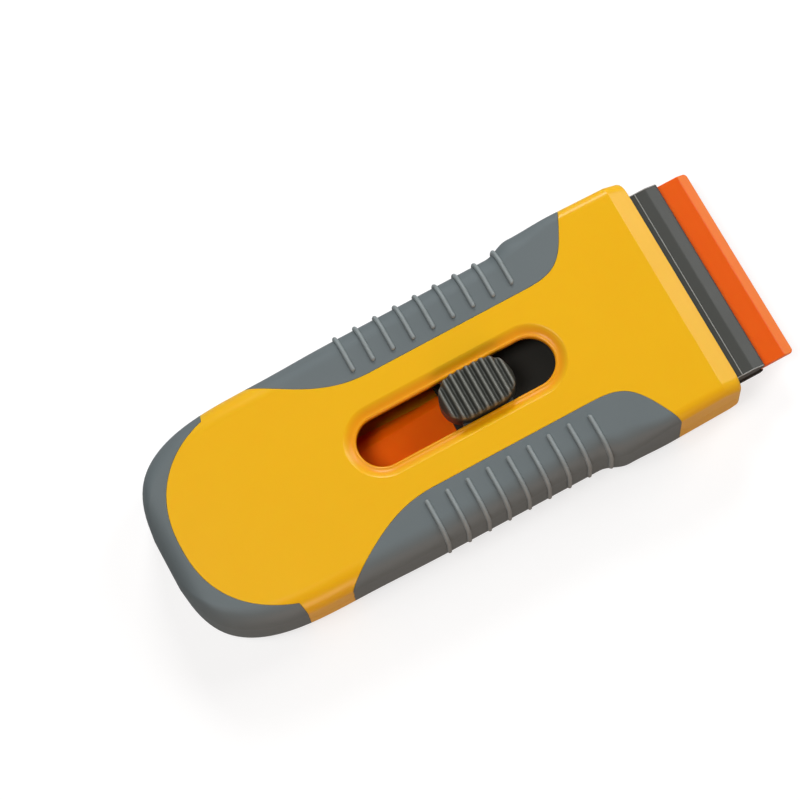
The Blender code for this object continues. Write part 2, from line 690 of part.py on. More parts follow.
def make_top_shell(material, recesses, inside, mouth):
    """The upper half of the housing, with the slot for the button."""
    shell = to_object("top_shell", housing_solid(), material)
    seam = SEAM_HEIGHT + GAP / 2
    upper = block((TAIL_X - OVERRUN, FRONT_X + OVERRUN), (-OUTSIDE, OUTSIDE), (seam, ABOVE))
    keep(shell, to_object("upper_half", upper))
    channel_x = (SLOT_CENTRE_X - SLOT_LENGTH / 2 - OVERRUN, FRONT_X - MOUTH_LIP - EMBED)
    channel_y = (-CHANNEL_HALF_WIDTH, CHANNEL_HALF_WIDTH)
    channel = to_object("roof_channel", block(channel_x, channel_y, (SEAM_HEIGHT, CHANNEL_TOP)))
    slot = plan_prism(stadium(SLOT_CENTRE_X, SLOT_LENGTH, SLOT_WIDTH), (SEAM_HEIGHT, ABOVE))
    cut(shell, inside, channel, mouth, to_object("slot", slot), slot_surround())
    cut(shell, *recesses)
    fuse(shell, *upper_bosses(), *tongue_guides(), detent_ridges())
    cut(shell, *pilot_holes())


def slot_surround():
    """The sloping rim round the slot, down to a narrow ledge, and as far again above the face."""
    ledge = SLOT_WIDTH + 2 * SURROUND_LEDGE
    rim = SLOT_WIDTH + 2 * SURROUND_MARGIN
    longer = SLOT_LENGTH - SLOT_WIDTH
    levels = ((ledge, BODY_THICKNESS - SURROUND_DEPTH), (2 * rim - ledge, BODY_THICKNESS + SURROUND_DEPTH))
    rings = []
    for width, height in levels:
        outline = stadium(SLOT_CENTRE_X, longer + width, width)
        rings.append([Vector((x, y, height)) for x, y in outline])
    return to_object("slot_surround", loft(rings))


def rods_at_screws(suffix, radius, z_span):
    """The same upright rod at each of the four case screws."""
    rods = []
    for name, (x, y) in SCREW_PLACES.items():
        rods.append(to_object(name + suffix, upright_rod(radius, x, y, z_span)))
    return rods


def upper_bosses():
    """Posts under the roof that the case screws bite into."""
    return rods_at_screws("_upper_boss", SCREW_HOLE + BOSS_WALL, (LOWER_BOSS_TOP + GAP, ROOF + EMBED))


def pilot_holes():
    """Blind holes in the upper bosses."""
    tip = SCREW_HEAD_TOP + SCREW_LENGTH + GAP
    return rods_at_screws("_pilot", SCREW_HOLE, (LOWER_BOSS_TOP - OVERRUN, tip))


def tongue_guides():
    """Two ribs under the roof that keep the carrier's tongue down."""
    rear_x = SLOT_CENTRE_X - SLOT_LENGTH / 2
    front_x = KNUCKLE_REAR_X - TRAVEL_BACK - GAP
    guides = []
    for name, side in (("left_guide", 1), ("right_guide", -1)):
        inner = CHANNEL_HALF_WIDTH + GUIDE_INSET
        y_span = sorted((side * inner, side * (inner + GUIDE_THICKNESS)))
        shape = block((rear_x, front_x), y_span, (TONGUE_TOP + GAP, ROOF + EMBED))
        guides.append(to_object(name, shape))
    return guides


def detent_ridges():
    """Pairs of low ridges under the roof that hold the detent leaf's crest at each stop."""
    shape = bmesh.new()
    for travel in (-TRAVEL_BACK, 0.0, TRAVEL_FORWARD):
        for side in (-1, 1):
            x = LEAF_CREST_X + travel + side * DETENT_HALF_SPACING
            x_span = (x - DETENT_WIDTH / 2, x + DETENT_WIDTH / 2)
            y_span = (LEAF_Y - LEAF_WIDTH / 2, LEAF_Y + LEAF_WIDTH / 2)
            add_block(shape, x_span, y_span, (ROOF - DETENT_HEIGHT, ROOF + EMBED))
    return to_object("detent_ridges", shape)


def make_bottom_shell(material, recesses, inside, mouth):
    """The lower half of the housing, with the door's opening and the carrier's rails."""
    shell = to_object("bottom_shell", housing_solid(), material)
    seam = SEAM_HEIGHT - GAP / 2
    lower = block((TAIL_X - OVERRUN, FRONT_X + OVERRUN), (-OUTSIDE, OUTSIDE), (-OVERRUN, seam))
    keep(shell, to_object("lower_half", lower))
    cut(shell, inside, mouth)
    cut(shell, *recesses)
    fuse(shell, *lower_bosses(), *floor_ribs())
    cut(shell, *door_opening(), *screw_holes())


def lower_bosses():
    """Posts on the floor that the case screws pass through."""
    return rods_at_screws("_lower_boss", SCREW_HOLE + BOSS_WALL, (WALL - EMBED, LOWER_BOSS_TOP))


def screw_holes():
    """Clearance holes with counterbores in the back."""
    holes = rods_at_screws("_hole", SCREW_HOLE, (-OVERRUN, LOWER_BOSS_TOP + OVERRUN))
    holes += rods_at_screws("_counterbore", COUNTERBORE_RADIUS, (-OVERRUN, COUNTERBORE_TOP))
    return holes


def floor_ribs():
    """The carrier's two rails, and two low ribs that keep the spare blades in their bay."""
    floor = WALL - EMBED
    rail_x = (KNUCKLE_REAR_X - TRAVEL_BACK, FRONT_X - MOUTH_LIP + EMBED)
    ribs = []
    for name, side in (("left_rail", 1), ("right_rail", -1)):
        y_span = sorted((side * RAIL_HALF_SPACING, side * (RAIL_HALF_SPACING + RAIL_WIDTH)))
        ribs.append(to_object(name, block(rail_x, y_span, (floor, WALL + RAIL_HEIGHT))))
    y_span = (-BAY_RIB_HALF_WIDTH, BAY_RIB_HALF_WIDTH)
    front_x = (DOOR_FRONT_X + GAP, DOOR_FRONT_X + GAP + BAY_RIB)
    rear_end = DOOR_AXIS_X - DOOR_EDGE_RADIUS - GAP - BAY_RIB
    rear_x = (rear_end - BAY_RIB, rear_end)
    front = block(front_x, y_span, (floor, WALL + BAY_FRONT_RIB_HEIGHT))
    rear = block(rear_x, y_span, (floor, WALL + BAY_REAR_RIB_HEIGHT))
    ribs.append(to_object("bay_front_rib", front))
    ribs.append(to_object("bay_rear_rib", rear))
    return ribs


def door_opening():
    """The stepped hole for the storage door, the seats of its trunnions and a notch for a fingertip."""
    rear_x = DOOR_AXIS_X - DOOR_EDGE_RADIUS - GAP
    side = DOOR_HALF_WIDTH + GAP
    low = block((rear_x, DOOR_FRONT_X + GAP), (-side, side), (-OVERRUN, DOOR_TOP + GAP))
    turning_x = (rear_x, DOOR_AXIS_X + DOOR_EDGE_RADIUS + GAP)
    turning = block(turning_x, (-side, side), (GAP, WALL + OVERRUN))
    side -= DOOR_LEDGE
    high = block((rear_x, DOOR_FRONT_X + GAP - DOOR_LEDGE), (-side, side), (GAP, WALL + OVERRUN))
    reach = DOOR_HALF_WIDTH + TRUNNION_LENGTH + GAP
    seats = cross_rod(TRUNNION_RADIUS + GAP, DOOR_AXIS_X, DOOR_AXIS_HEIGHT, (-reach, reach))
    notch = upright_rod(FINGER_NOTCH_RADIUS, DOOR_FRONT_X, 0, (-OVERRUN, FINGER_NOTCH_DEPTH))
    return [
        to_object("door_opening", low),
        to_object("bay_opening", high),
        to_object("trunnion_seats", seats),
        to_object("door_edge_room", turning),
        to_object("finger_notch", notch),
    ]


def make_storage_door(material):
    """The door in the back that the spare blades come out of."""
    rise = math.asin((DOOR_TOP - DOOR_AXIS_HEIGHT) / DOOR_EDGE_RADIUS)
    profile = [(DOOR_FRONT_X, DOOR_BOTTOM), (DOOR_FRONT_X, DOOR_TOP)]
    profile += arc((DOOR_AXIS_X, DOOR_AXIS_HEIGHT), DOOR_EDGE_RADIUS, rise, 3 * math.pi / 2, ROUND_STEPS)
    plate = side_prism(profile, (-DOOR_HALF_WIDTH, DOOR_HALF_WIDTH))
    door = to_object("storage_door", plate, material)
    reach = DOOR_HALF_WIDTH + TRUNNION_LENGTH
    trunnions = cross_rod(TRUNNION_RADIUS, DOOR_AXIS_X, DOOR_AXIS_HEIGHT, (-reach, reach))
    fuse(door, to_object("door_trunnions", trunnions))
    pad_x = (DOOR_AXIS_X + DOOR_PAD_MARGIN, DOOR_FRONT_X - DOOR_PAD_MARGIN)
    for name, side in (("left_door_pad", 1), ("right_door_pad", -1)):
        y_span = sorted((side * DOOR_PAD_HALF_SPACING, side * (DOOR_PAD_HALF_SPACING + DOOR_PAD_WIDTH)))
        fuse(door, to_object(name, block(pad_x, y_span, (DOOR_TOP - EMBED, WALL))))
    return door


def blade_outline():
    """A double-edged blade in plan about its centre, with round corners and a notch in each end."""
    x = BLADE_DEPTH / 2
    y = BLADE_WIDTH / 2
    quarter = math.pi / 2
    outline = []
    for turn, (sx, sy) in enumerate(((1, 1), (-1, 1), (-1, -1), (1, -1))):
        centre = (sx * (x - BLADE_CORNER), sy * (y - BLADE_CORNER))
        outline += arc(centre, BLADE_CORNER, turn * quarter, (turn + 1) * quarter, CORNER_STEPS)
        if turn in (0, 2):
            inner = sy * (y - NOTCH_DEPTH)
            near = sx * NOTCH_WIDTH / 2
            outline += [(near, sy * y), (near, inner), (-near, inner), (-near, sy * y)]
    return outline


def make_blade(name, material, x, y, bottom, turn):
    """A plastic blade, bevelled along both long edges, placed by its centre."""
    reach = BLADE_DEPTH / 2
    profile = [
        (-reach, 0),
        (reach, 0),
        (reach, BLADE_EDGE),
        (reach - BLADE_BEVEL, BLADE_THICKNESS),
        (BLADE_BEVEL - reach, BLADE_THICKNESS),
        (-reach, BLADE_EDGE),
    ]
    side = BLADE_WIDTH / 2 + OVERRUN
    blade = to_object(name, side_prism(profile, (-side, side)), material)
    plan = to_object(name + "_plan", plan_prism(blade_outline(), (-OVERRUN, OVERRUN)))
    keep(blade, plan)
    blade.location = (x, y, bottom)
    blade.rotation_euler = (0, 0, turn)
    return blade


def knuckle(name, y_span):
    """A block with a round top about the clamp's pin."""
    foot = CARRIER_BOTTOM + EMBED
    profile = [(KNUCKLE_REAR_X, foot), (KNUCKLE_FRONT_X, foot)]
    profile += arc((PIN_X, PIN_Z), KNUCKLE_RADIUS, 0, math.pi, CURVE_STEPS)
    return to_object(name, side_prism(profile, y_span))


def make_carrier(material):
    """The slider: lower jaw, blade stop, hinge ears, tongue and the leaf's wing."""
    front_x = LIP_FRONT_X - JAW_SETBACK
    profile = [
        (DECK_REAR_X, CARRIER_BOTTOM),
        (front_x - JAW_NOSE, CARRIER_BOTTOM),
        (front_x, JAW_TOP - JAW_THICKNESS / 2),
        (front_x, JAW_TOP),
        (STOP_FRONT_X, JAW_TOP),
        (STOP_FRONT_X, BLADE_TOP),
        (STOP_REAR_X, BLADE_TOP),
        (STOP_REAR_X, DECK_TOP),
        (DECK_REAR_X, DECK_TOP),
    ]
    jaw = side_prism(profile, (-HOLDER_HALF_WIDTH, HOLDER_HALF_WIDTH))
    carrier = to_object("blade_carrier", jaw, material)
    tongue_y = (-TONGUE_HALF_WIDTH, TONGUE_HALF_WIDTH)
    tongue = block((TONGUE_REAR_X, PIN_X), tongue_y, (TONGUE_BOTTOM, TONGUE_TOP))
    wing_x = (WING_REAR_X, DECK_REAR_X + EMBED)
    wing_y = (TONGUE_HALF_WIDTH - EMBED, TONGUE_HALF_WIDTH + WING_WIDTH)
    wing = block(wing_x, wing_y, (CARRIER_BOTTOM + EMBED / 2, LEAF_SEAT))
    fuse(
        carrier,
        knuckle("centre_knuckle", (-CENTRE_KNUCKLE_HALF_WIDTH, CENTRE_KNUCKLE_HALF_WIDTH)),
        knuckle("left_ear", (EAR_INNER, CARRIER_HALF_WIDTH + EMBED)),
        knuckle("right_ear", (-CARRIER_HALF_WIDTH - EMBED, -EAR_INNER)),
        to_object("carrier_tongue", tongue),
        to_object("leaf_wing", wing),
        *blade_lugs(),
    )
    cut(carrier, *deck_sides())
    pin_reach = CARRIER_HALF_WIDTH + OVERRUN
    pin_hole = cross_rod(PIN_HOLE, PIN_X, PIN_Z, (-pin_reach, pin_reach))
    stem_hole = upright_rod(STEM_RADIUS + GAP, BUTTON_X, 0, (CARRIER_BOTTOM, TONGUE_TOP + OVERRUN))
    rivet_hole = upright_rod(RIVET_RADIUS + GAP, RIVET_X, LEAF_Y, (CARRIER_BOTTOM + 2 * GAP, ROOF))
    cut(
        carrier,
        to_object("carrier_pin_hole", pin_hole),
        to_object("stem_hole", stem_hole),
        to_object("rivet_hole", rivet_hole),
    )
    return carrier


def deck_sides():
    """What is cut off both sides of the deck and ears, behind the jaw."""
    x_span = (KNUCKLE_REAR_X - OVERRUN, STOP_REAR_X - EMBED)
    z_span = (CARRIER_BOTTOM - OVERRUN, ABOVE)
    sides = []
    for name, side in (("left_deck_side", 1), ("right_deck_side", -1)):
        y_span = sorted((side * CARRIER_HALF_WIDTH, side * (HOLDER_HALF_WIDTH + OVERRUN)))
        sides.append(to_object(name, block(x_span, y_span, z_span)))
    return sides


def blade_lugs():
    """Lugs on the lower jaw that stand in the blade's end notches."""
    centre = BLADE_REAR_X + BLADE_DEPTH / 2
    reach = NOTCH_WIDTH / 2 - GAP
    inner = BLADE_WIDTH / 2 - NOTCH_DEPTH + GAP
    lugs = []
    for name, side in (("left_lug", 1), ("right_lug", -1)):
        y_span = sorted((side * inner, side * BLADE_WIDTH / 2))
        shape = block((centre - reach, centre + reach), y_span, (JAW_TOP - EMBED, BLADE_TOP))
        lugs.append(to_object(name, shape))
    return lugs


def make_clamp(material):
    """The upper jaw: a plate with a sloping lip, on two barrels round the pin."""
    bend_x = LIP_FRONT_X - LIP_LENGTH
    lip_top = CLAMP_TOP - LIP_DROP
    bend_end = (bend_x + LIP_BEND, CLAMP_TOP - LIP_DROP * LIP_BEND / LIP_LENGTH)
    corner = (bend_x, CLAMP_TOP)
    bend = bezier(bend_end, corner, corner, (bend_x - LIP_BEND, CLAMP_TOP), CORNER_STEPS)
    profile = [
        (CLAMP_REAR_X, CLAMP_BOTTOM),
        (LIP_FRONT_X - LIP_NOSE, CLAMP_BOTTOM),
        (LIP_FRONT_X, CLAMP_BOTTOM + LIP_NOSE),
        (LIP_FRONT_X, lip_top - LIP_NOSE),
        (LIP_FRONT_X - LIP_NOSE, lip_top + LIP_DROP * LIP_NOSE / LIP_LENGTH),
        *bend,
        (CLAMP_REAR_X, CLAMP_TOP),
    ]
    plate = side_prism(profile, (-HOLDER_HALF_WIDTH, HOLDER_HALF_WIDTH))
    clamp = to_object("blade_clamp", plate, material)
    inner = CENTRE_KNUCKLE_HALF_WIDTH + GAP
    outer = EAR_INNER - GAP
    for name, y_span in (("left_barrel", (inner, outer)), ("right_barrel", (-outer, -inner))):
        barrel = to_object(name, cross_rod(KNUCKLE_RADIUS, PIN_X, PIN_Z, y_span))
        web_y = (y_span[0] + EMBED, y_span[1] - EMBED)
        web_z = (CLAMP_BOTTOM + EMBED / 2, CLAMP_TOP - EMBED / 2)
        web = to_object(name + "_web", block((PIN_X, CLAMP_REAR_X + EMBED), web_y, web_z))
        fuse(barrel, web)
        fuse(clamp, barrel)
    hole_y = (-CARRIER_HALF_WIDTH, CARRIER_HALF_WIDTH)
    cut(clamp, to_object("clamp_pin_hole", cross_rod(PIN_HOLE, PIN_X, PIN_Z, hole_y)))
    return clamp


def make_clamp_pin(material):
    """The steel pin that the clamp turns on."""
    pin = cross_rod(PIN_RADIUS, PIN_X, PIN_Z, (-CARRIER_HALF_WIDTH, CARRIER_HALF_WIDTH))
    return to_object("clamp_pin", pin, material)


def ridge_height(x):
    """How high the button's back stands at x; both its ends turn down."""
    share = abs(x - BUTTON_X) / (BUTTON_LENGTH / 2)
    return BUTTON_TOP - BUTTON_END_DROP * share**4


def make_button(material):
    """The thumb button: a ridged cap through the slot, wings under the roof and a stem."""
    half = BUTTON_LENGTH / 2
    profile = [(BUTTON_X - half, WING_BOTTOM), (BUTTON_X + half, WING_BOTTOM)]
    profile += [(BUTTON_X + half, ridge_height(BUTTON_X + half) - RIDGE_HEIGHT)]
    first = BUTTON_X + RIDGE_PITCH * RIDGE_COUNT / 2
    for i in range(RIDGE_COUNT):
        crest = first - RIDGE_PITCH * i - RIDGE_PITCH / 4
        valley = first - RIDGE_PITCH * (i + 1)
        profile += [(crest, ridge_height(crest)), (valley, ridge_height(valley) - RIDGE_HEIGHT)]
    profile += [(BUTTON_X - half, ridge_height(BUTTON_X - half) - RIDGE_HEIGHT)]
    side = BUTTON_WIDTH / 2 + OVERRUN
    button = to_object("thumb_button", side_prism(profile, (-side, side)), material)
    plan = plan_prism(stadium(BUTTON_X, BUTTON_LENGTH, BUTTON_WIDTH), (SEAM_HEIGHT, ABOVE + BUTTON_PROUD))
    keep(button, to_object("button_plan", plan))
    wing_x = (BUTTON_X - BUTTON_WING_LENGTH / 2, BUTTON_X + BUTTON_WING_LENGTH / 2)
    wing_reach = BUTTON_WIDTH / 2 + BUTTON_WING
    wings = block(wing_x, (-wing_reach, wing_reach), (WING_BOTTOM - EMBED / 2, WING_TOP))
    stem = upright_rod(STEM_RADIUS, BUTTON_X, 0, (STEM_BOTTOM, WING_TOP))
    fuse(button, to_object("button_wings", wings), to_object("button_stem", stem))
    return button


def make_button_spring(material):
    """A short coil round the button's stem."""
    low = TONGUE_TOP + GAP + SPRING_WIRE / 2
    high = WING_BOTTOM - EMBED / 2 - GAP - SPRING_WIRE / 2
    steps = SPRING_TURNS * COIL_STEPS
    curve = bpy.data.curves.new("button_spring", "CURVE")
    curve.dimensions = "3D"
    curve.bevel_depth = SPRING_WIRE / 2
    curve.bevel_resolution = 1
    curve.use_fill_caps = True
    line = curve.splines.new("POLY")
    line.points.add(steps)
    for i, point in enumerate(line.points):
        angle = math.tau * i / COIL_STEPS
        height = low + (high - low) * i / steps
        x = BUTTON_X + SPRING_RADIUS * math.cos(angle)
        point.co = (x, SPRING_RADIUS * math.sin(angle), height, 1)
    curve.materials.append(material)
    coil = bpy.data.objects.new("button_spring", curve)
    bpy.context.scene.collection.objects.link(coil)
    return coil


def make_detent_spring(material):
    """A steel strip whose crest clicks between the ridges under the roof."""
    path = [
        (LEAF_FRONT_X, LEAF_BOTTOM),
        (LEAF_BEND_X, LEAF_BOTTOM),
        (LEAF_CREST_X, LEAF_CREST_Z),
        (LEAF_CREST_X - LEAF_TIP, LEAF_CREST_Z - LEAF_TIP / 2),
    ]
    over = [(x, z + LEAF_THICKNESS) for x, z in path]
    y_span = (LEAF_Y - LEAF_WIDTH / 2, LEAF_Y + LEAF_WIDTH / 2)
    leaf = to_object("detent_spring", side_prism(path + over[::-1], y_span), material)
    hole = upright_rod(RIVET_RADIUS + GAP, RIVET_X, LEAF_Y, (CARRIER_BOTTOM, CLAMP_BOTTOM))
    cut(leaf, to_object("leaf_hole", hole))
    return leaf


def make_spring_rivet(material):
    """The rivet that holds the leaf's foot on the carrier's wing."""
    head_low = LEAF_BOTTOM + LEAF_THICKNESS + GAP
    profile = [
        (0, CARRIER_BOTTOM + 3 * GAP),
        (RIVET_RADIUS, CARRIER_BOTTOM + 3 * GAP),
        (RIVET_RADIUS, head_low),
        (RIVET_HEAD_RADIUS, head_low),
        (RIVET_HEAD_RADIUS, head_low + RIVET_HEAD / 2),
        (RIVET_RADIUS, head_low + RIVET_HEAD),
        (0, head_low + RIVET_HEAD),
    ]
    rivet = to_object("spring_rivet", turned(profile), material)
    rivet.location = (RIVET_X, LEAF_Y, 0)
    return rivet


def make_screw(name, x, y, material):
    """A tapping screw, head down in its counterbore, with a cross recess."""
    low = SCREW_HEAD_TOP - SCREW_HEAD
    tip = SCREW_HEAD_TOP + SCREW_LENGTH
    profile = [
        (0, low),
        (SCREW_HEAD_RADIUS - SCREW_HEAD / 2, low),
        (SCREW_HEAD_RADIUS, low + SCREW_HEAD / 2),
        (SCREW_HEAD_RADIUS, SCREW_HEAD_TOP),
        (SCREW_RADIUS, SCREW_HEAD_TOP),
        (SCREW_RADIUS, tip - SCREW_TIP),
        (0, tip),
    ]
    screw = to_object(name, turned(profile), material)
    reach = SCREW_HEAD_RADIUS * DRIVE_SHARE
    half = DRIVE_WIDTH / 2
    depth = (low - OVERRUN, low + DRIVE_DEPTH)
    along = to_object(name + "_drive_x", block((-reach, reach), (-half, half), depth))
    across = to_object(name + "_drive_y", block((-half, half), (-reach, reach), depth))
    cut(screw, along, across)
    screw.location = (x, y, 0)


def joint_axis(name, place, pieces):
    """An empty on a joint's axis, which carries the pieces that move there."""
    axis = bpy.data.objects.new(name, None)
    bpy.context.scene.collection.objects.link(axis)
    axis.location = place
    for piece in pieces:
        piece.parent = axis
        piece.matrix_parent_inverse = Matrix.Translation(-Vector(place))
    return axis


def build():
    clear_scene()
    yellow = finish("yellow_plastic", (0.84, 0.45, 0.017), 0.35)
    soft_grey = finish("soft_grey", (0.147, 0.178, 0.184), 0.6)
    dark_grey = finish("dark_grey_plastic", (0.058, 0.062, 0.058), 0.45)
    orange = finish("orange_plastic", (0.82, 0.122, 0.02), 0.4)
    steel = finish("steel", (0.6, 0.6, 0.58), 0.3, 1.0)

    inside = to_object("inside", housing_core(WALL, FRONT_X - MOUTH_LIP))
    side = HOLDER_HALF_WIDTH + GAP
    mouth_x = (STOP_REAR_X - TRAVEL_BACK - GAP, FRONT_X + OVERRUN)
    mouth_z = (CARRIER_BOTTOM - GAP, CARRIER_BOTTOM - GAP + MOUTH_HEIGHT)
    mouth = to_object("mouth", block(mouth_x, (-side, side), mouth_z))
    recesses = grip_recesses()
    make_top_shell(yellow, recesses, inside, mouth)
    make_bottom_shell(yellow, recesses, inside, mouth)
    make_grips(soft_grey)
    for name, (x, y) in SCREW_PLACES.items():
        make_screw(name, x, y, steel)
    joint_axis("door_axis", (DOOR_AXIS_X, 0, DOOR_AXIS_HEIGHT), [make_storage_door(yellow)])

    blade_x = BLADE_REAR_X + BLADE_DEPTH / 2
    sliding = [
        make_carrier(dark_grey),
        make_clamp_pin(steel),
        make_button_spring(steel),
        make_detent_spring(steel),
        make_spring_rivet(steel),
        make_blade("scraper_blade", orange, blade_x, 0, BLADE_BOTTOM, 0),
        joint_axis("clamp_axis", (PIN_X, 0, PIN_Z), [make_clamp(dark_grey)]),
        joint_axis("button_axis", (BUTTON_X, 0, TONGUE_TOP), [make_button(dark_grey)]),
    ]
    joint_axis("slide_axis", (STOP_REAR_X, 0, CARRIER_BOTTOM), sliding)

    lying = math.pi / 2
    make_blade(
        "upper_spare_blade", orange, SPARE_X, UPPER_SPARE_SIDE, UPPER_SPARE_BOTTOM, lying + UPPER_SPARE_TURN
    )
    make_blade(
        "lower_spare_blade", orange, SPARE_X, LOWER_SPARE_SIDE, LOWER_SPARE_BOTTOM, lying + LOWER_SPARE_TURN
    )


build()
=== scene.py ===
# %% [markdown]
# # Dressing a plastic razor blade scraper
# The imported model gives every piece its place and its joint. This script gives the pieces
# their rounded edges, ribs, ridges and finishes, and then sets the camera and the light.
# Everything is in metres, in the frame of the model: +X to the blade, +Z out of the face.

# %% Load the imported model
import json
import math

import bmesh
import bpy
from mathutils import Matrix, Vector


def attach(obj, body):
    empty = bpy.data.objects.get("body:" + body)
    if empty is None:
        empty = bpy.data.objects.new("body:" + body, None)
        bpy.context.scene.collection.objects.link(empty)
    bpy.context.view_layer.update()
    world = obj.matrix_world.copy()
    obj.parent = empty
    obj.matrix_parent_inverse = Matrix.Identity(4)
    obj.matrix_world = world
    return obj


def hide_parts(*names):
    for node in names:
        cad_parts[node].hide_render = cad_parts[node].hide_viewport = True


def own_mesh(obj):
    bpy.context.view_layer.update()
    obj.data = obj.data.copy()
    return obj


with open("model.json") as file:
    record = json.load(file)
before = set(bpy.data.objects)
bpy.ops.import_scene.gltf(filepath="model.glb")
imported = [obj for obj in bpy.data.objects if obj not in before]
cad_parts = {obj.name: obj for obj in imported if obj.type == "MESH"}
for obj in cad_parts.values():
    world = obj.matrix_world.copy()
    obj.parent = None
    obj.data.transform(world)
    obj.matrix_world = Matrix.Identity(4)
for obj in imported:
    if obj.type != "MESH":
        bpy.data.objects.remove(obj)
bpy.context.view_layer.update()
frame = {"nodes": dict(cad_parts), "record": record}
scene = bpy.context.scene
nodes = frame["nodes"]
MM = 0.001


def mm(*values):
    """Millimetres in metres."""
    return tuple(value * MM for value in values)


# %% [markdown]
# ## The camera
# The photograph was taken from in front of the tool's face, leaning back towards its right
# side, with a long lens. A camera is a place and three directions, so a matrix holds it best.

# %% Camera at the photograph's angle
lens = bpy.data.cameras.new("photo_camera")
lens.lens = 135.0
lens.sensor_width = 36.0
lens.clip_start = 0.02
camera = bpy.data.objects.new("photo_camera", lens)
scene.collection.objects.link(camera)
rightward = Vector((0.87858939, -0.47492120, -0.05030477))
upward = Vector((0.46992785, 0.84092885, 0.26834124))
behind = Vector((-0.08513820, -0.25940138, 0.96200985))
camera.matrix_world = Matrix.Translation(Vector((-53.78, -133.30, 526.81)) * MM) @ Matrix(
    (rightward, upward, behind)
).transposed().to_4x4()
scene.camera = camera
print("camera stands", round(camera.location.length, 3), "m away")

# %% [markdown]
# ## Trees of nodes
# Finishes and repeated shapes are both trees of nodes. Here a node's output is a wire that
# takes part in sums: each sign adds one Math node, so that a tree reads like the rule that
# it follows.

# %% Helpers that add nodes
class Wire:
    """A node's output. Signs add Math nodes, and [name] gives another output of the node."""

    def __init__(self, socket):
        self.socket = socket

    def __getitem__(self, key):
        return Wire(self.socket.node.outputs[key])

    def __add__(self, other):
        return calc("ADD", self, other)

    def __sub__(self, other):
        return calc("SUBTRACT", self, other)

    def __rsub__(self, other):
        return calc("SUBTRACT", other, self)

    def __mul__(self, other):
        return calc("MULTIPLY", self, other)

    def __truediv__(self, other):
        return calc("DIVIDE", self, other)

    def __rtruediv__(self, other):
        return calc("DIVIDE", other, self)

    def __lt__(self, other):
        return calc("LESS_THAN", self, other)

    def __gt__(self, other):
        return calc("GREATER_THAN", self, other)


def feed(node, **inputs):
    """Sets or links a node's inputs, by name or by number after _; a list links several."""
    for name, value in inputs.items():
        socket = node.inputs[int(name[1:]) if name[0] == "_" else name.replace("_", " ")]
        for part in value if isinstance(value, list) else [value]:
            if isinstance(part, Wire):
                node.id_data.links.new(part.socket, socket)
            else:
                socket.default_value = part


def add(tree, kind, settings=None, **inputs):
    """A new node with its settings and inputs, as the wire of its first output."""
    prefixes = ("GeometryNode", "FunctionNode") if tree.type == "GEOMETRY" else ()
    prefix = next((p for p in prefixes if hasattr(bpy.types, p + kind)), "ShaderNode")
    node = tree.nodes.new(prefix + kind)
    for name, value in (settings or {}).items():
        setattr(node, name, value)
    feed(node, **inputs)
    return Wire(node.outputs[0])


def calc(operation, *values):
    """One Math node on wires and numbers."""
    tree = next(value.socket.id_data for value in values if isinstance(value, Wire))
    inputs = {f"_{i}": value for i, value in enumerate(values)}
    return add(tree, "Math", {"operation": operation}, **inputs)


print("a wire knows the signs + - * / < >")

# %% Helpers that start and end a group
SOCKETS = {float: "Float", int: "Int", tuple: "Color", str: "Geometry", type(None): "Material"}


def start_tree(kind, name, inputs, outputs):
    """A node group: its tree, its inputs as wires, and the sockets that take its results."""
    tree = bpy.data.node_groups.new(name, kind + "NodeTree")
    for way, sockets in (("INPUT", inputs), ("OUTPUT", outputs)):
        for label, value in sockets.items():
            socket_type = "NodeSocket" + SOCKETS[type(value)]
            made = tree.interface.new_socket(label, in_out=way, socket_type=socket_type)
            if way == "INPUT" and type(value) in (float, int, tuple):
                made.default_value = value
    given = Wire(tree.nodes.new("NodeGroupInput").outputs[0])
    return tree, given, tree.nodes.new("NodeGroupOutput").inputs


def give(tree, result, **wires):
    """Links a group's results, and returns its tree."""
    for label, wire in wires.items():
        tree.links.new(wire.socket, result[label])
    print("tree", tree.name, "of", len(tree.nodes), "nodes")
    return tree


print("kinds of socket", list(SOCKETS.values()))

# %% [markdown]
# ## Shared surface effects
# A shader group holds an effect that several plastics share. Its values differ from one
# finish to the next, so they are the group's inputs, and one tree serves them all.

# %% Helpers for surface effects
def noise(tree, size, detail=2.0, roughness=0.5):
    """Noise on the object's own coordinates, with features of about this size in metres."""
    place = add(tree, "TexCoord")["Object"]
    return add(tree, "TexNoise", Vector=place, Scale=1.0 / size, Detail=detail, Roughness=roughness)


def spread(value, low, high, to_low=0.0, to_high=1.0):
    """A value brought from one range to another, and held within it."""
    return add(
        value.socket.id_data, "MapRange",
        Value=value, From_Min=low, From_Max=high, To_Min=to_low, To_Max=to_high,
    )


def blend(share, first, second):
    """A colour between two."""
    tree = share.socket.id_data
    return add(tree, "Mix", {"data_type": "RGBA"}, _0=share, _6=first, _7=second)[2]


def new_material(name):
    """A material, its tree and its Principled shader."""
    material = bpy.data.materials.new(name)
    material.use_nodes = True
    return material, material.node_tree, material.node_tree.nodes["Principled BSDF"]


print("helpers", [helper.__name__ for helper in (noise, spread, blend, new_material)])

# %% [markdown]
# ### Moulded grain
# The mould's steel is etched, so the plastic comes out with a fine even grain, over slow
# waves where thick and thin walls cooled differently. Two noises add up to one height.

# %% Group: moulded grain
tree, given, result = start_tree(
    "Shader", "moulded_grain",
    {"Grain Size": 0.0003, "Wave Size": 0.008, "Wave Share": 0.5}, {"Height": 0.0},
)
waves = noise(tree, given["Wave Size"], 1.0) * given["Wave Share"]
grain_tree = give(tree, result, Height=noise(tree, given["Grain Size"], 3.0) + waves)

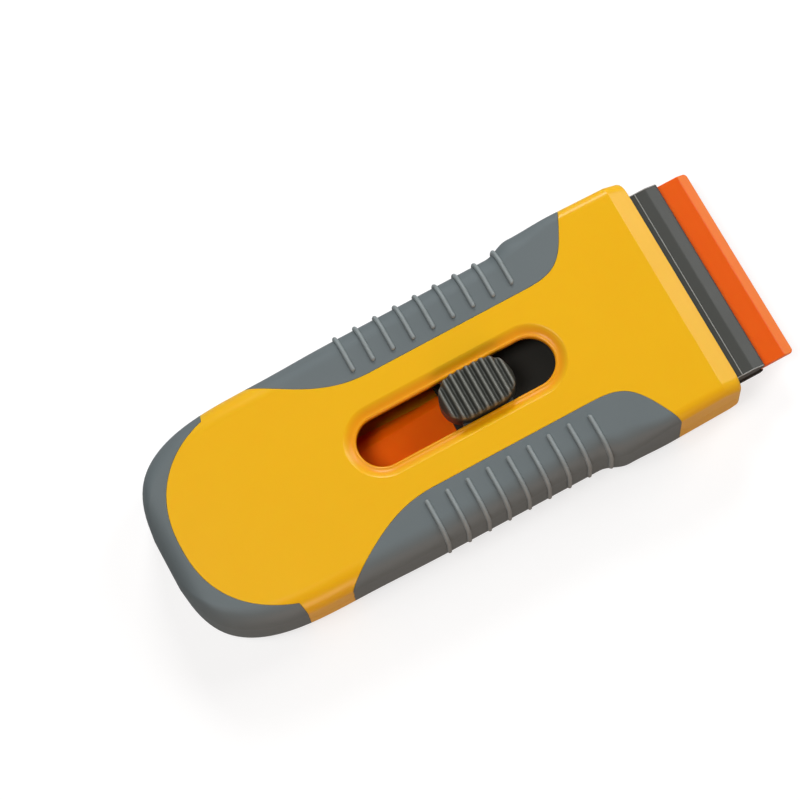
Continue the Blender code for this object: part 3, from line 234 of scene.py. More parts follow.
# %% [markdown]
# ### Colour and shine of a used surface, with painted highlight and painted shade
# A used surface isn't one flat colour. It drifts a little in tone, rubbing lightens its
# edges, and handling leaves patches that shine more. The rounded normal of a Bevel node
# differs from the true one only near an edge, which gives the mask for rubbing. Where a
# piece has ridges, their crests are painted lighter, a painted highlight with some thumb
# wear in it; they follow the object's own x. A zone of the piece can take a second colour
# below a given height: painted shade deep in a hollow, a painted highlight on a thin edge.

# %% Group: used colour, painted highlight and painted shade
RUBBED_EDGE, PATCH_SIZE, SHINE_PATCH_SIZE = mm(0.3, 1.2, 9)
tree, given, result = start_tree(
    "Shader", "handled_with_painted_light",
    {
        "Colour": (0.8, 0.8, 0.8, 1.0), "Drift Colour": (0.7, 0.7, 0.7, 1.0),
        "Rubbed Colour": (0.9, 0.9, 0.9, 1.0), "Drift Size": 0.02, "Drift Share": 0.3,
        "Rub Share": 0.4, "Shine": 0.4, "Shine Range": 0.1, "Ridge Start": 0.0,
        "Ridge Pitch": 0.001, "Ridge Count": 9.0, "Ridge Foot": 0.01, "Ridge Share": 0.0,
        "Zone Colour": (0.8, 0.8, 0.8, 1.0), "Zone Middle": 0.0, "Zone Half Length": 0.01,
        "Zone Half Width": 0.01, "Zone Top": 0.01, "Zone Fade": 0.001, "Zone Share": 0.0,
    },
    {"Colour": (0.0,), "Roughness": 0.0},
)
# Noise lies mostly in the middle of its range, so that part is spread over the whole.
drift = spread(noise(tree, given["Drift Size"], 3.0, 0.55), 0.35, 0.7)
toned = blend(drift * given["Drift Share"], given["Colour"], given["Drift Colour"])
rounded = add(tree, "Bevel", {"samples": 4}, Radius=RUBBED_EDGE)
true_normal = add(tree, "NewGeometry")["Normal"]
facing = add(tree, "VectorMath", {"operation": "DOT_PRODUCT"}, _0=rounded, _1=true_normal)["Value"]
patchy = spread(noise(tree, PATCH_SIZE), 0.35, 0.6)
# Rubbing starts where the two normals part by 6 degrees and is full at 26.
rub = spread(facing, 0.995, 0.9) * patchy * given["Rub Share"]
own = add(tree, "SeparateXYZ", Vector=add(tree, "TexCoord")["Object"])
turns = (given["Ridge Start"] - own[0]) / given["Ridge Pitch"]
in_row = (turns > 0.0) * (turns < given["Ridge Count"])
# A ridge's crest is where the cosine is lowest.
# Painted highlight: the crests are painted towards the lighter colour, with some thumb wear in it.
crest_highlight = spread(calc("COSINE", turns * math.tau), -0.1, -0.85) * in_row
crest_highlight = crest_highlight * (own[2] > given["Ridge Foot"]) * given["Ridge Share"]
# Painted shade and painted highlight: below the zone's top the colour turns to the zone's colour.
along = calc("ABSOLUTE", own[0] - given["Zone Middle"])
across = calc("ABSOLUTE", own[1])
zone = (along < given["Zone Half Length"]) * (across < given["Zone Half Width"])
below = spread((given["Zone Top"] - own[2]) / given["Zone Fade"], 0.0, 1.0)
toned = blend(zone * below * given["Zone Share"], toned, given["Zone Colour"])
# Rubbing on the edges is wear; the lighter crests are painted highlight.
worn_and_painted_light = blend(calc("MAXIMUM", rub, crest_highlight), toned, given["Rubbed Colour"])
patch = noise(tree, SHINE_PATCH_SIZE, 3.0, 0.6) - 0.5
shine = calc("MULTIPLY_ADD", patch, given["Shine Range"], given["Shine"])
handled_with_painted_light_tree = give(tree, result, Colour=worn_and_painted_light, Roughness=shine)

# %% [markdown]
# ## The finishes
# Each plastic is a Principled shader with the two groups at its own values. Bump takes the
# grain's height in metres, so that the grain stays fine at any distance. Light sinks a little
# way into the yellow and the orange, and comes out redder.

# %% A helper that makes one plastic
SHADED_EDGE, GLOW_DEPTH, GLOW_RADIUS = 0.18 * MM, 1.2 * MM, (1.0, 0.22, 0.04)


def plastic(
    name, colour, drift, rubbed, shine, shine_range, grain, depth, gloss, glow=0.0, **handled_with_painted_light
):
    """A moulded plastic: colours, roughness, grain size and depth in mm, gloss and glow; the rest are
    the group's values, painted highlight and painted shade among them.
    """
    material, tree, shader = new_material(name)
    skin = add(
        tree, "Group", {"node_tree": handled_with_painted_light_tree},
        Colour=(*colour, 1.0), Drift_Colour=(*drift, 1.0), Rubbed_Colour=(*rubbed, 1.0),
        Shine=shine, Shine_Range=shine_range, **handled_with_painted_light,
    )
    height = add(tree, "Group", {"node_tree": grain_tree}, Grain_Size=grain * MM)
    edge = add(tree, "Bevel", {"samples": 4}, Radius=SHADED_EDGE)
    feed(
        shader, Base_Color=skin["Colour"], Roughness=skin["Roughness"],
        Normal=add(tree, "Bump", Strength=1.0, Distance=depth * MM, Height=height, Normal=edge),
        Specular_IOR_Level=gloss, Subsurface_Weight=glow,
        Subsurface_Radius=GLOW_RADIUS, Subsurface_Scale=GLOW_DEPTH,
    )
    material.diffuse_color = (*colour, 1.0)
    print("plastic", material.name)
    return material


print("edges shaded over", round(SHADED_EDGE / MM, 2), "mm")

# %% Yellow, grey, dark grey and orange plastics
# The yellow takes painted shade, a deeper orange, in the hollow round the slot and inside
# below it, and the orange a painted highlight, a paler colour, on the blade's thin bevel.
yellow = plastic(
    "yellow_plastic", (0.83, 0.45, 0.002), (0.8, 0.415, 0.001), (0.88, 0.5, 0.03),
    0.3, 0.1, 0.35, 0.003, 0.25, 0.12,
    Zone_Colour=(0.8, 0.25, 0.0006, 1.0), Zone_Share=0.65, Zone_Middle=0.2 * MM,
    Zone_Half_Length=23.7 * MM, Zone_Half_Width=8.2 * MM, Zone_Top=14.42 * MM, Zone_Fade=0.7 * MM,
)
soft_grey = plastic(
    "soft_grey", (0.118, 0.142, 0.149), (0.1, 0.122, 0.128), (0.24, 0.27, 0.27),
    0.58, 0.1, 0.22, 0.012, 0.3,
)
# Painted highlight: the ribs' grey is lighter than the grips', for the light their crests catch, with
# a little rubbing.
rib_grey_painted_highlight = plastic(
    "rib_grey_painted_highlight", (0.22, 0.25, 0.255), (0.19, 0.215, 0.22), (0.32, 0.35, 0.35),
    0.5, 0.1, 0.22, 0.006, 0.4,
)
# Painted highlight: the jaw's fine beads are a far lighter grey than the jaw.
bead_grey_painted_highlight = plastic(
    "bead_grey_painted_highlight", (0.3, 0.31, 0.3), (0.24, 0.25, 0.24), (0.4, 0.41, 0.4),
    0.35, 0.1, 0.3, 0.003, 0.5,
)
dark_grey = plastic(
    "dark_grey_plastic", (0.034, 0.036, 0.032), (0.028, 0.03, 0.026), (0.1, 0.105, 0.095),
    0.45, 0.12, 0.3, 0.005, 0.3,
)
# Painted shade: the holder's grey is darker than the jaw's, where it lies in the slot's and the jaw's
# shade.
holder_grey_painted_shade = plastic(
    "holder_grey_painted_shade", (0.028, 0.027, 0.023), (0.023, 0.022, 0.019), (0.07, 0.07, 0.065),
    0.55, 0.12, 0.3, 0.005, 0.08,
)
orange = plastic(
    "orange_plastic", (0.77, 0.108, 0.004), (0.74, 0.096, 0.003), (0.86, 0.25, 0.06),
    0.32, 0.1, 0.4, 0.003, 0.15, 0.3,
    # Painted highlight: the blade's bevel, below its top, is painted paler.
    Zone_Colour=(0.8, 0.17, 0.006, 1.0), Zone_Share=1.0, Zone_Middle=57.5 * MM,
    Zone_Half_Length=3.0 * MM, Zone_Half_Width=25.0 * MM, Zone_Top=6.88 * MM, Zone_Fade=0.1 * MM,
)
# Painted light: the stored blades' orange is lighter than the working blade's, to light them where
# they lie in the shade under the slot; a little of it is a new blade's cleaner colour.
stored_orange_painted_light = plastic(
    "stored_orange_painted_light", (1.0, 0.15, 0.001), (0.97, 0.13, 0.001), (0.95, 0.2, 0.01),
    0.45, 0.08, 0.4, 0.003, 0.06, 0.3,
)

# %% [markdown]
# ### Zinc-plated steel
# The screws, the pin and the springs are bright plated steel: full metal, with fine
# scratches that blur its shine, so one fine noise drives roughness and bump.

# %% Steel
steel, tree, shader = new_material("steel")
scratch = noise(tree, 0.15 * MM)
feed(
    shader, Metallic=1.0, Roughness=spread(scratch, 0.0, 1.0, 0.22, 0.42),
    Base_Color=blend(noise(tree, 1.5 * MM, 4.0), (0.62, 0.62, 0.6, 1), (0.52, 0.52, 0.5, 1)),
    Normal=add(tree, "Bump", Strength=1.0, Distance=0.003 * MM, Height=scratch),
)
print("metal", steel.name)

# %% Give every node its finish
FINISHES = {
    "yellow_plastic": yellow,
    "soft_grey": soft_grey,
    "dark_grey_plastic": dark_grey,
    "orange_plastic": orange,
    "steel": steel,
}
for part in frame["record"]["subparts"]:
    materials = nodes[part["node"]].data.materials
    materials.clear()
    materials.append(FINISHES[part["material_slot"]])
print("finishes", list(FINISHES))

# %% [markdown]
# ## The housing's outside
# The housing is two thin shells that meet on a level seam. Its outside follows a rule: a
# box section with round shoulders, whose width follows the plan of head, neck, waist and
# tail. A loft through such sections can be as fine as the picture needs, so one function
# serves the shells, the grips let into them, and the hollow inside.

# %% Sizes of the housing, as the model has them
BODY_THICKNESS = 14.5 * MM
FRONT_X, NECK_FRONT_X, NECK_REAR_X = mm(46.15, 22.85, 17.55)
TAPER_FRONT_X, TAIL_CENTRE_X, TAIL_X = mm(-13.95, -30.15, -58.55)
HEAD_LENGTH = FRONT_X - NECK_FRONT_X
NECK_LENGTH = NECK_FRONT_X - NECK_REAR_X
TAPER_LENGTH = TAPER_FRONT_X - TAIL_CENTRE_X
HEAD_HALF_WIDTH, HEAD_FLARE = mm(22.3, 0.5)
WAIST_HALF_WIDTH, TAIL_HALF_WIDTH, TAIL_TIP_HALF_WIDTH = mm(21.3, 21.0, 5.0)
TAIL_ROUNDNESS = 3.2
SHOULDER_RADIUS, HEAD_SHOULDER_RADIUS, SHARPENING_LENGTH = mm(4.0, 2.2, 9.0)
FRONT_CORNER_RADIUS = 0.9 * MM
FRONT_BEVEL_LENGTH, FRONT_BEVEL_DEPTH = mm(3.5, 2.0)
BACK_BEVEL_LENGTH, BACK_BEVEL_DEPTH = mm(2.0, 1.0)
SEAM_HEIGHT = 7.0 * MM
FIT = 0.05 * MM  # the fine line that shows between two pieces of the housing
OVERRUN = 3.0 * MM  # how far a cutter runs past what it cuts
EMBED = 0.4 * MM  # how deep a rib starts inside what carries it
OUTSIDE = HEAD_HALF_WIDTH + OVERRUN
ABOVE = BODY_THICKNESS + OVERRUN
CORNER_STEPS, CURVE_STEPS, ROUND_STEPS, TIP_STEPS = 10, 36, 40, 3
print("housing", round((FRONT_X - TAIL_X) / MM, 2), "mm long")


# %% Curves that the plan and the sections use
def bezier(start, first, second, end, steps):
    """Points along a cubic curve, both ends included."""
    points = []
    for i in range(steps + 1):
        t = i / steps
        s = 1 - t
        weights = (s**3, 3 * s * s * t, 3 * s * t * t, t**3)
        corners = (start, first, second, end)
        points.append(tuple(sum(w * c[k] for w, c in zip(weights, corners)) for k in (0, 1)))
    return points


def arc(centre, radius, from_angle, to_angle, steps):
    """Points along an arc, both ends included."""
    angles = [from_angle + (to_angle - from_angle) * i / steps for i in range(steps + 1)]
    return [(centre[0] + radius * math.cos(a), centre[1] + radius * math.sin(a)) for a in angles]


def stadium(centre_x, length, width):
    """A long hole's outline, round at both ends."""
    radius = width / 2
    reach = length / 2 - radius
    front = arc((centre_x + reach, 0), radius, -math.pi / 2, math.pi / 2, CURVE_STEPS)
    rear = arc((centre_x - reach, 0), radius, math.pi / 2, 3 * math.pi / 2, CURVE_STEPS)
    return front + rear


def ease(share):
    """A smooth step from 0 to 1."""
    return (1 - math.cos(math.pi * share)) / 2


def superellipse(distance, reach, side, roundness):
    """Half the tail's width at a distance behind its centre."""
    share = min(distance / reach, 1.0)
    return side * (1 - share**roundness) ** (1 / roundness)


def rounding(distance, radius):
    """How far an edge of this radius has drawn in, at a distance from the end."""
    left = radius - min(max(distance, 0.0), radius)
    return radius - math.sqrt(radius**2 - left**2)


print("halfway through a smooth step", round(ease(0.5), 3))


# %% The housing's plan and its cross-section
def half_width(x, inset):
    """Half the housing's width at x, drawn in by inset."""
    if x >= NECK_FRONT_X:
        return HEAD_HALF_WIDTH + HEAD_FLARE * (FRONT_X - x) / HEAD_LENGTH - inset
    if x >= NECK_REAR_X:
        share = ease((x - NECK_REAR_X) / NECK_LENGTH)
        return WAIST_HALF_WIDTH + (HEAD_HALF_WIDTH + HEAD_FLARE - WAIST_HALF_WIDTH) * share - inset
    if x >= TAPER_FRONT_X:
        return WAIST_HALF_WIDTH - inset
    if x >= TAIL_CENTRE_X:
        share = ease((x - TAIL_CENTRE_X) / TAPER_LENGTH)
        return TAIL_HALF_WIDTH + (WAIST_HALF_WIDTH - TAIL_HALF_WIDTH) * share - inset
    reach = TAIL_CENTRE_X - TAIL_X - inset
    width = superellipse(TAIL_CENTRE_X - x, reach, TAIL_HALF_WIDTH - inset, TAIL_ROUNDNESS)
    return max(width, TAIL_TIP_HALF_WIDTH)


def shoulder_radius(x):
    """The shoulder's radius at x: wide along the grips, tighter at the head's front."""
    share = ease(min(max((x - NECK_FRONT_X) / SHARPENING_LENGTH, 0.0), 1.0))
    return SHOULDER_RADIUS + (HEAD_SHOULDER_RADIUS - SHOULDER_RADIUS) * share


def section(x, inset, corner_at_front):
    """The housing's cross-section at x, drawn in by inset."""
    from_front = FRONT_X - x
    from_tail = x - TAIL_X - inset
    radius = max(shoulder_radius(x) - inset, EMBED)
    side = half_width(x, inset)
    low = inset + rounding(from_tail, radius)
    high = BODY_THICKNESS - low
    if corner_at_front:
        side -= rounding(from_front, FRONT_CORNER_RADIUS)
        high -= FRONT_BEVEL_DEPTH * max(0.0, 1 - from_front / FRONT_BEVEL_LENGTH)
        low += BACK_BEVEL_DEPTH * max(0.0, 1 - from_front / BACK_BEVEL_LENGTH)
    radius = min(radius, side, (high - low) / 2)
    corners = (
        ((side - radius, low + radius), -math.pi / 2),
        ((side - radius, high - radius), 0.0),
        ((radius - side, high - radius), math.pi / 2),
        ((radius - side, low + radius), math.pi),
    )
    points = []
    for centre, start in corners:
        points += arc(centre, radius, start, start + math.pi / 2, CORNER_STEPS)
    return [Vector((x, y, z)) for y, z in points]


def stations(inset):
    """Where the housing's cross-sections stand, from the tail to the head's straight part."""
    reach = TAIL_CENTRE_X - TAIL_X - inset
    turn = [math.pi / 2 * (1 - i / CURVE_STEPS) for i in (0, *range(TIP_STEPS, CURVE_STEPS + 1))]
    tail = [TAIL_CENTRE_X - reach * math.sin(a) for a in turn]
    taper = [TAIL_CENTRE_X + TAPER_LENGTH * i / CORNER_STEPS for i in range(1, CORNER_STEPS + 1)]
    neck = [NECK_REAR_X + NECK_LENGTH * i / CORNER_STEPS for i in range(CORNER_STEPS + 1)]
    head = [NECK_FRONT_X + SHARPENING_LENGTH * i / CORNER_STEPS for i in range(1, CORNER_STEPS + 1)]
    return tail + taper + neck + head


for name, x in (("head", FRONT_X), ("waist", 0.0), ("tail", TAIL_CENTRE_X)):
    print(name, round(2 * half_width(x, 0.0) / MM, 1), "mm wide")

# %% Solids from rings of points and from flat outlines
def loft(rings):
    """Joins rings of equally many points and closes both ends."""
    shape = bmesh.new()
    rows = [[shape.verts.new(point) for point in ring] for ring in rings]
    for near, far in zip(rows, rows[1:]):
        for i in range(len(near)):
            j = (i + 1) % len(near)
            shape.faces.new((near[i], near[j], far[j], far[i]))
    shape.faces.new(reversed(rows[0]))
    shape.faces.new(rows[-1])
    return shape


def plan_prism(outline, z_span):
    """An outline in plan, extruded between two heights."""
    low = [Vector((x, y, z_span[0])) for x, y in outline]
    lift = Vector((0, 0, z_span[1] - z_span[0]))
    return loft([low, [point + lift for point in low]])


def block(*spans):
    """A box between two x, two y and two z values."""
    shape = bmesh.new()
    size = [high - low for low, high in spans]
    centre = Vector([(low + high) / 2 for low, high in spans])
    place = Matrix.Translation(centre) @ Matrix.Diagonal((*size, 1.0))
    bmesh.ops.create_cube(shape, size=1.0, matrix=place)
    return shape


def upright_rod(radius, x, y, z_span):
    """A round rod that stands on end."""
    circle = arc((x, y), radius, 0, math.tau, ROUND_STEPS)[:-1]
    return plan_prism(circle, z_span)


def to_object(name, shape):
    """Turns a bmesh with its faces outwards into an object."""
    bmesh.ops.recalc_face_normals(shape, faces=shape.faces)
    mesh = bpy.data.meshes.new(name)
    shape.to_mesh(mesh)
    shape.free()
    made = bpy.data.objects.new(name, mesh)
    scene.collection.objects.link(made)
    return made


print("a rod of", ROUND_STEPS, "sides")


# %% The outside and the hollow inside
def housing_solid():
    """The whole housing's outside, from the tail to the bevelled front."""
    front = [
        FRONT_X - max(FRONT_BEVEL_LENGTH, FRONT_CORNER_RADIUS),
        FRONT_X - FRONT_CORNER_RADIUS,
        FRONT_X - BACK_BEVEL_LENGTH,
    ]
    corner = [math.pi / 2 * i / CORNER_STEPS for i in range(1, CORNER_STEPS + 1)]
    front += [FRONT_X - FRONT_CORNER_RADIUS * (1 - math.sin(a)) for a in corner]
    places = sorted(set(stations(0.0) + front))
    return loft([section(x, 0.0, True) for x in places])


def housing_core(inset, front_x):
    """The housing's inside at a depth under its surface, up to front_x."""
    return loft([section(x, inset, False) for x in stations(inset) + [front_x]])


print("the housing is lofted through", len(stations(0.0)), "sections and its front")

# %% [markdown]
# ## Cutting and joining
# The Boolean modifier with the exact solver cuts a solid the way a mould does: slot, mouth
# and recesses each take their share. When a piece is whole, its evaluated mesh replaces the
# steps, so that what rides on a body is a plain mesh.

# %% Helpers that cut, join and settle
def shape_with(target, operation, tools):
    for tool in tools:
        step = target.modifiers.new(tool.name, "BOOLEAN")
        step.operation = operation
        step.solver = "EXACT"
        step.object = tool


def cut(target, *tools):
    shape_with(target, "DIFFERENCE", tools)


def fuse(target, *tools):
    shape_with(target, "UNION", tools)


def keep(target, *tools):
    shape_with(target, "INTERSECT", tools)


def bake(piece):
    """Makes the evaluated mesh the piece's own, and drops the steps that led to it."""
    graph = bpy.context.evaluated_depsgraph_get()
    mesh = bpy.data.meshes.new_from_object(piece.evaluated_get(graph), depsgraph=graph)
    piece.modifiers.clear()
    piece.data = mesh
    return mesh


def settle(piece, sharp=math.radians(22)):
    """A plain mesh, smooth but for its sharp edges, whose flat faces stay flat."""
    mesh = bake(piece)
    mesh.shade_smooth()
    mesh.set_sharp_from_angle(angle=sharp)
    weighted = piece.modifiers.new("flat_faces_first", "WEIGHTED_NORMAL")
    weighted.keep_sharp = True
    print(piece.name, len(mesh.polygons), "faces")
    return piece


def clear_away(tools):
    for tool in tools:
        bpy.data.objects.remove(tool)


def wear(piece, body, slot, material, *replaced):
    """Gives a finished piece its material, its body and the nodes that it stands for."""
    piece.data.materials.clear()
    piece.data.materials.append(material)
    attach(piece, body)
    if replaced:
        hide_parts(*replaced)


print("signs for solids", [helper.__name__ for helper in (cut, fuse, keep)])

# %% [markdown]
# ## Soft grips
# The grips are a second, soft plastic moulded into recesses of the housing, flush with it.
# Each is the housing's own skin inside an outline seen from above, so the loft is kept
# where a prism of that outline stands and its inside is cut away. The same outline, a hair
# larger, later cuts the recess.

# %% Sizes of the grips
GRIP_THICKNESS = 1.1 * MM
GRIP_INNER_HALF_WIDTH = 12.0 * MM
GRIP_FRONT_X, GRIP_REAR_X = mm(33.95, -32.35)
GRIP_FRONT_FLARE_LENGTH, GRIP_REAR_FLARE_LENGTH = mm(13.0, 21.7)
GRIP_BACK_MARGIN, GRIP_BACK_FLARE_LENGTH, GRIP_BACK_STEP = mm(4.0, 6.5, 0.05)
FRONT_FLARE_SHARES = ((0.57, 0.0), (0.65, 0.18))
REAR_FLARE_SHARES = ((0.335, 0.0), (0.564, 0.28))
TAIL_RIM_AT_END, TAIL_RIM_AT_SIDE = mm(3.6, 0.7)
TAIL_RIM_START_SHARE, TAIL_RIM_ROUNDNESS = 0.45, 2.3
print("side grip", round((GRIP_FRONT_X - GRIP_REAR_X) / MM, 1), "mm long")


# %% Outlines of the grips
def grow_outline(outline, distance):
    """Moves an outline's points outwards; it runs anticlockwise."""
    moved = []
    for i, point in enumerate(outline):
        before = Vector(point) - Vector(outline[i - 1])
        after = Vector(outline[(i + 1) % len(outline)]) - Vector(point)
        along = before.normalized() + after.normalized()
        out = Vector((along.y, -along.x)).normalized()
        lean = out.dot(Vector((after.y, -after.x)).normalized())
        moved.append(tuple(Vector(point) + out * distance / lean))
    return moved


def flare(corner_x, end_x, inner, outer, shares):
    """The curve on which a grip's edge turns from its straight part out to the side."""
    length = end_x - corner_x
    rise = outer - inner
    handles = [(corner_x + along * length, inner + up * rise) for along, up in shares]
    return bezier((corner_x, inner), *handles, (end_x, outer), CURVE_STEPS)


def side_grip_outline(inner, front_x, rear_x, front_length, rear_length, side):
    """A side grip seen from above: straight inside, flaring out at both ends."""
    front_top = HEAD_HALF_WIDTH + OVERRUN / 2
    front = flare(front_x - front_length, front_x, inner, front_top, FRONT_FLARE_SHARES)
    rear = flare(rear_x + rear_length, rear_x, inner, WAIST_HALF_WIDTH, REAR_FLARE_SHARES)
    outline = [(front_x, OUTSIDE), (rear_x, OUTSIDE)] + rear[::-1] + front
    if side > 0:
        return outline
    return [(x, -y) for x, y in reversed(outline)]


print("a flare of", CURVE_STEPS, "steps")


# %% The parts of the skin that the grips take
def side_grip_region(name, side, grow):
    """The part of the housing's skin that a side grip takes, wide on top and narrow on the back."""
    top = side_grip_outline(
        GRIP_INNER_HALF_WIDTH, GRIP_FRONT_X, GRIP_REAR_X,
        GRIP_FRONT_FLARE_LENGTH, GRIP_REAR_FLARE_LENGTH, side,
    )
    back = side_grip_outline(
        WAIST_HALF_WIDTH - GRIP_BACK_MARGIN, GRIP_FRONT_X - GRIP_BACK_STEP,
        GRIP_REAR_X + GRIP_BACK_STEP, GRIP_BACK_FLARE_LENGTH, GRIP_BACK_FLARE_LENGTH, side,
    )
    region = to_object(name, plan_prism(grow_outline(top, grow), (SEAM_HEIGHT, ABOVE)))
    under = plan_prism(grow_outline(back, grow), (-OVERRUN, SEAM_HEIGHT + EMBED))
    under = to_object(name + "_back", under)
    fuse(region, under)
    bake(region)
    clear_away([under])
    return region


def tail_grip_region(name, grow):
    """The part of the housing's skin that the tail grip takes."""
    reach = TAIL_CENTRE_X - TAIL_X - TAIL_RIM_AT_END
    side = TAIL_HALF_WIDTH - TAIL_RIM_AT_SIDE
    start = math.asin(TAIL_RIM_START_SHARE)
    angles = [start + (math.pi / 2 - start) * i / CURVE_STEPS for i in range(CURVE_STEPS + 1)]
    behind = [reach * math.sin(a) for a in angles]
    left = [(TAIL_CENTRE_X - d, superellipse(d, reach, side, TAIL_RIM_ROUNDNESS)) for d in behind]
    right = [(x, -y) for x, y in left[:-1]]
    start_x = left[0][0] + TAIL_RIM_AT_END / 2
    far_x = TAIL_X - OVERRUN
    outline = [(start_x, OUTSIDE), (far_x, OUTSIDE), (far_x, -OUTSIDE), (start_x, -OUTSIDE)]
    outline += right + left[::-1]
    return to_object(name, plan_prism(grow_outline(outline, grow), (-OVERRUN, ABOVE)))


print("tail grip from x", round((TAIL_CENTRE_X - TAIL_X) / MM, 1), "mm long")

# %% Cut the three grips out of the skin
grip_core = to_object("grip_core", housing_core(GRIP_THICKNESS, GRIP_FRONT_X + OVERRUN))
grips = {}
tools = [grip_core]
for name, side in (("left", 1), ("right", -1)):
    grip = to_object(name + "_side_grip", housing_solid())
    region = side_grip_region(name + "_region", side, 0.0)
    keep(grip, region)
    cut(grip, grip_core)
    grips[name] = settle(grip)
    tools.append(region)
tail = to_object("tail_end_grip", housing_solid())
region = tail_grip_region("tail_region", 0.0)
keep(tail, region)
cut(tail, grip_core)
grips["tail"] = settle(tail)
clear_away(tools + [region])
for name, grip in grips.items():
    wear(grip, "housing", "soft_grey", soft_grey, name + "_grip")

# %% [markdown]
# ## Ribs on the side grips
# Nine narrow ribs cross each side grip, from its face round the shoulder and down its side,
# with round crests and round ends. They repeat, so Geometry Nodes make them: one tube is
# swept along a filleted path and set down nine times. Where the neck widens, each rib moves
# out with it.

# %% Helpers that start, end and run a tree
def start_geometry(name, sizes):
    """A tree whose inputs are a geometry, the sizes and a material."""
    inputs = {"Geometry": "", **sizes, "Material": None}
    return start_tree("Geometry", name, inputs, {"Geometry": ""})


def end_geometry(geometry, given, result):
    """Ends a tree: its instances are made real and the material is set."""
    tree = geometry.socket.id_data
    geometry = add(tree, "RealizeInstances", Geometry=geometry)
    geometry = add(tree, "SetMaterial", Geometry=geometry, Material=given["Material"])
    return give(tree, result, Geometry=geometry)


def grown(name, tree, sizes, material, start=None):
    """Runs a tree on a new object, or on start, and keeps the result as its plain mesh."""
    values = {**sizes, "Material": material}
    piece = start
    if piece is None:
        piece = bpy.data.objects.new(name, bpy.data.meshes.new(name))
        scene.collection.objects.link(piece)
    step = piece.modifiers.new(name, "NODES")
    step.node_group = tree
    for item in tree.interface.items_tree:
        if item.in_out == "INPUT" and item.name in values:
            step[item.identifier] = values[item.name]
    mesh = bake(piece)
    print(name, len(mesh.polygons), "faces")
    return piece


# %% Tree: ribs round a shoulder
PATH_STEPS, FILLET_STEPS, TUBE_SIDES = 110, 24, 12
BLUNT_END = 0.004  # the square of the share of its radius that a rib's very end keeps
RIB_TUBE, RIB_HEIGHT = mm(0.42, 0.6)
RIB_LIFT = RIB_HEIGHT - RIB_TUBE
RIB_SIZES = {
    "Count": 9, "First X": 19.45 * MM, "Pitch": 4.07 * MM, "Inner Y": 13.45 * MM,
    "Side Y": WAIST_HALF_WIDTH + RIB_LIFT, "Top Z": BODY_THICKNESS + RIB_LIFT,
    "Foot Z": 4.6 * MM, "Shoulder": SHOULDER_RADIUS + RIB_LIFT, "Tube": RIB_TUBE,
    "Neck X": NECK_REAR_X, "Neck Length": NECK_LENGTH,
    "Neck Rise": HEAD_HALF_WIDTH + HEAD_FLARE - WAIST_HALF_WIDTH, "Side": 1.0,
}
tree, given, result = start_geometry("shoulder_ribs", RIB_SIZES)
# The path has three corners: inside on the face, at the shoulder, and at the side's foot.
index = add(tree, "InputIndex")
path_yz = []
for last, (early, late) in enumerate((("Inner Y", "Side Y"), ("Top Z", "Foot Z"))):
    later = add(
        tree, "Compare", {"data_type": "INT", "operation": "GREATER_THAN"},
        _2=index, _3=last,
    )
    path_yz.append(add(
        tree, "Switch", {"input_type": "FLOAT"},
        Switch=later, _1=given[early], _2=given[late],
    ))
place = add(tree, "CombineXYZ", X=0.0, Y=path_yz[0], Z=path_yz[1])
path = add(tree, "MeshLine", Count=3)
path = add(tree, "SetPosition", Geometry=path, Position=place)
path = add(tree, "MeshToCurve", Mesh=path)
path = add(
    tree, "FilletCurve", {"mode": "POLY"},
    Curve=path, Count=FILLET_STEPS, Radius=given["Shoulder"],
)
path = add(tree, "ResampleCurve", Curve=path, Count=PATH_STEPS)
# The tube swells from nothing to its full radius within that radius of either end.
along = add(tree, "SplineParameter")["Length"]
from_end = calc("MINIMUM", along, add(tree, "SplineLength")["Length"] - along)
left = 1.0 - calc("MINIMUM", from_end / given["Tube"], 1.0)
swell = calc("SQRT", calc("MAXIMUM", 1.0 - left * left, BLUNT_END))
ring = add(
    tree, "CurvePrimitiveCircle", Resolution=TUBE_SIDES, Radius=given["Tube"]
)
tube = add(
    tree, "CurveToMesh",
    Curve=path, Profile_Curve=ring, Scale=swell, Fill_Caps=True,
)
start = add(tree, "CombineXYZ", X=given["First X"])
step = add(tree, "CombineXYZ", X=given["Pitch"] * -1.0)
row = add(
    tree, "MeshLine", Count=given["Count"], Start_Location=start, Offset=step
)
ribs = add(tree, "InstanceOnPoints", Points=row, Instance=tube)
ribs = add(tree, "RealizeInstances", Geometry=ribs)
# Where the neck widens, the ribs move out with it; the right side is the left one mirrored.
parts = add(tree, "SeparateXYZ", Vector=add(tree, "InputPosition"))
into_neck = (parts[0] - given["Neck X"]) / given["Neck Length"]
widened = add(
    tree, "MapRange", {"interpolation_type": "SMOOTHSTEP"},
    Value=into_neck, To_Max=given["Neck Rise"],
)
new_y = (parts[1] + widened) * given["Side"]
place = add(tree, "CombineXYZ", X=parts[0], Y=new_y, Z=parts[2])
ribs = add(tree, "SetPosition", Geometry=ribs, Position=place)
mirrored = add(
    tree, "Compare", {"operation": "LESS_THAN"}, _0=given["Side"], _1=0.0
)
ribs = add(tree, "FlipFaces", Mesh=ribs, Selection=mirrored)
ribs = add(tree, "SetShadeSmooth", Geometry=ribs)
rib_tree = end_geometry(ribs, given, result)

# %% The ribs of both grips
for name, side in (("left", 1.0), ("right", -1.0)):
    # The ribs take the lighter grey, a painted highlight.
    ribs = grown(name + "_grip_ribs", rib_tree, {**RIB_SIZES, "Side": side}, rib_grey_painted_highlight)
    wear(ribs, "housing", "soft_grey", rib_grey_painted_highlight)

# %% [markdown]
# ## The two shells
# The upper shell has the slot with its sloping rim, the mouth in front and guides under its
# roof. The lower one has the screw holes and the opening for the storage door. Both are the
# housing's solid, cut down to their half and hollowed.

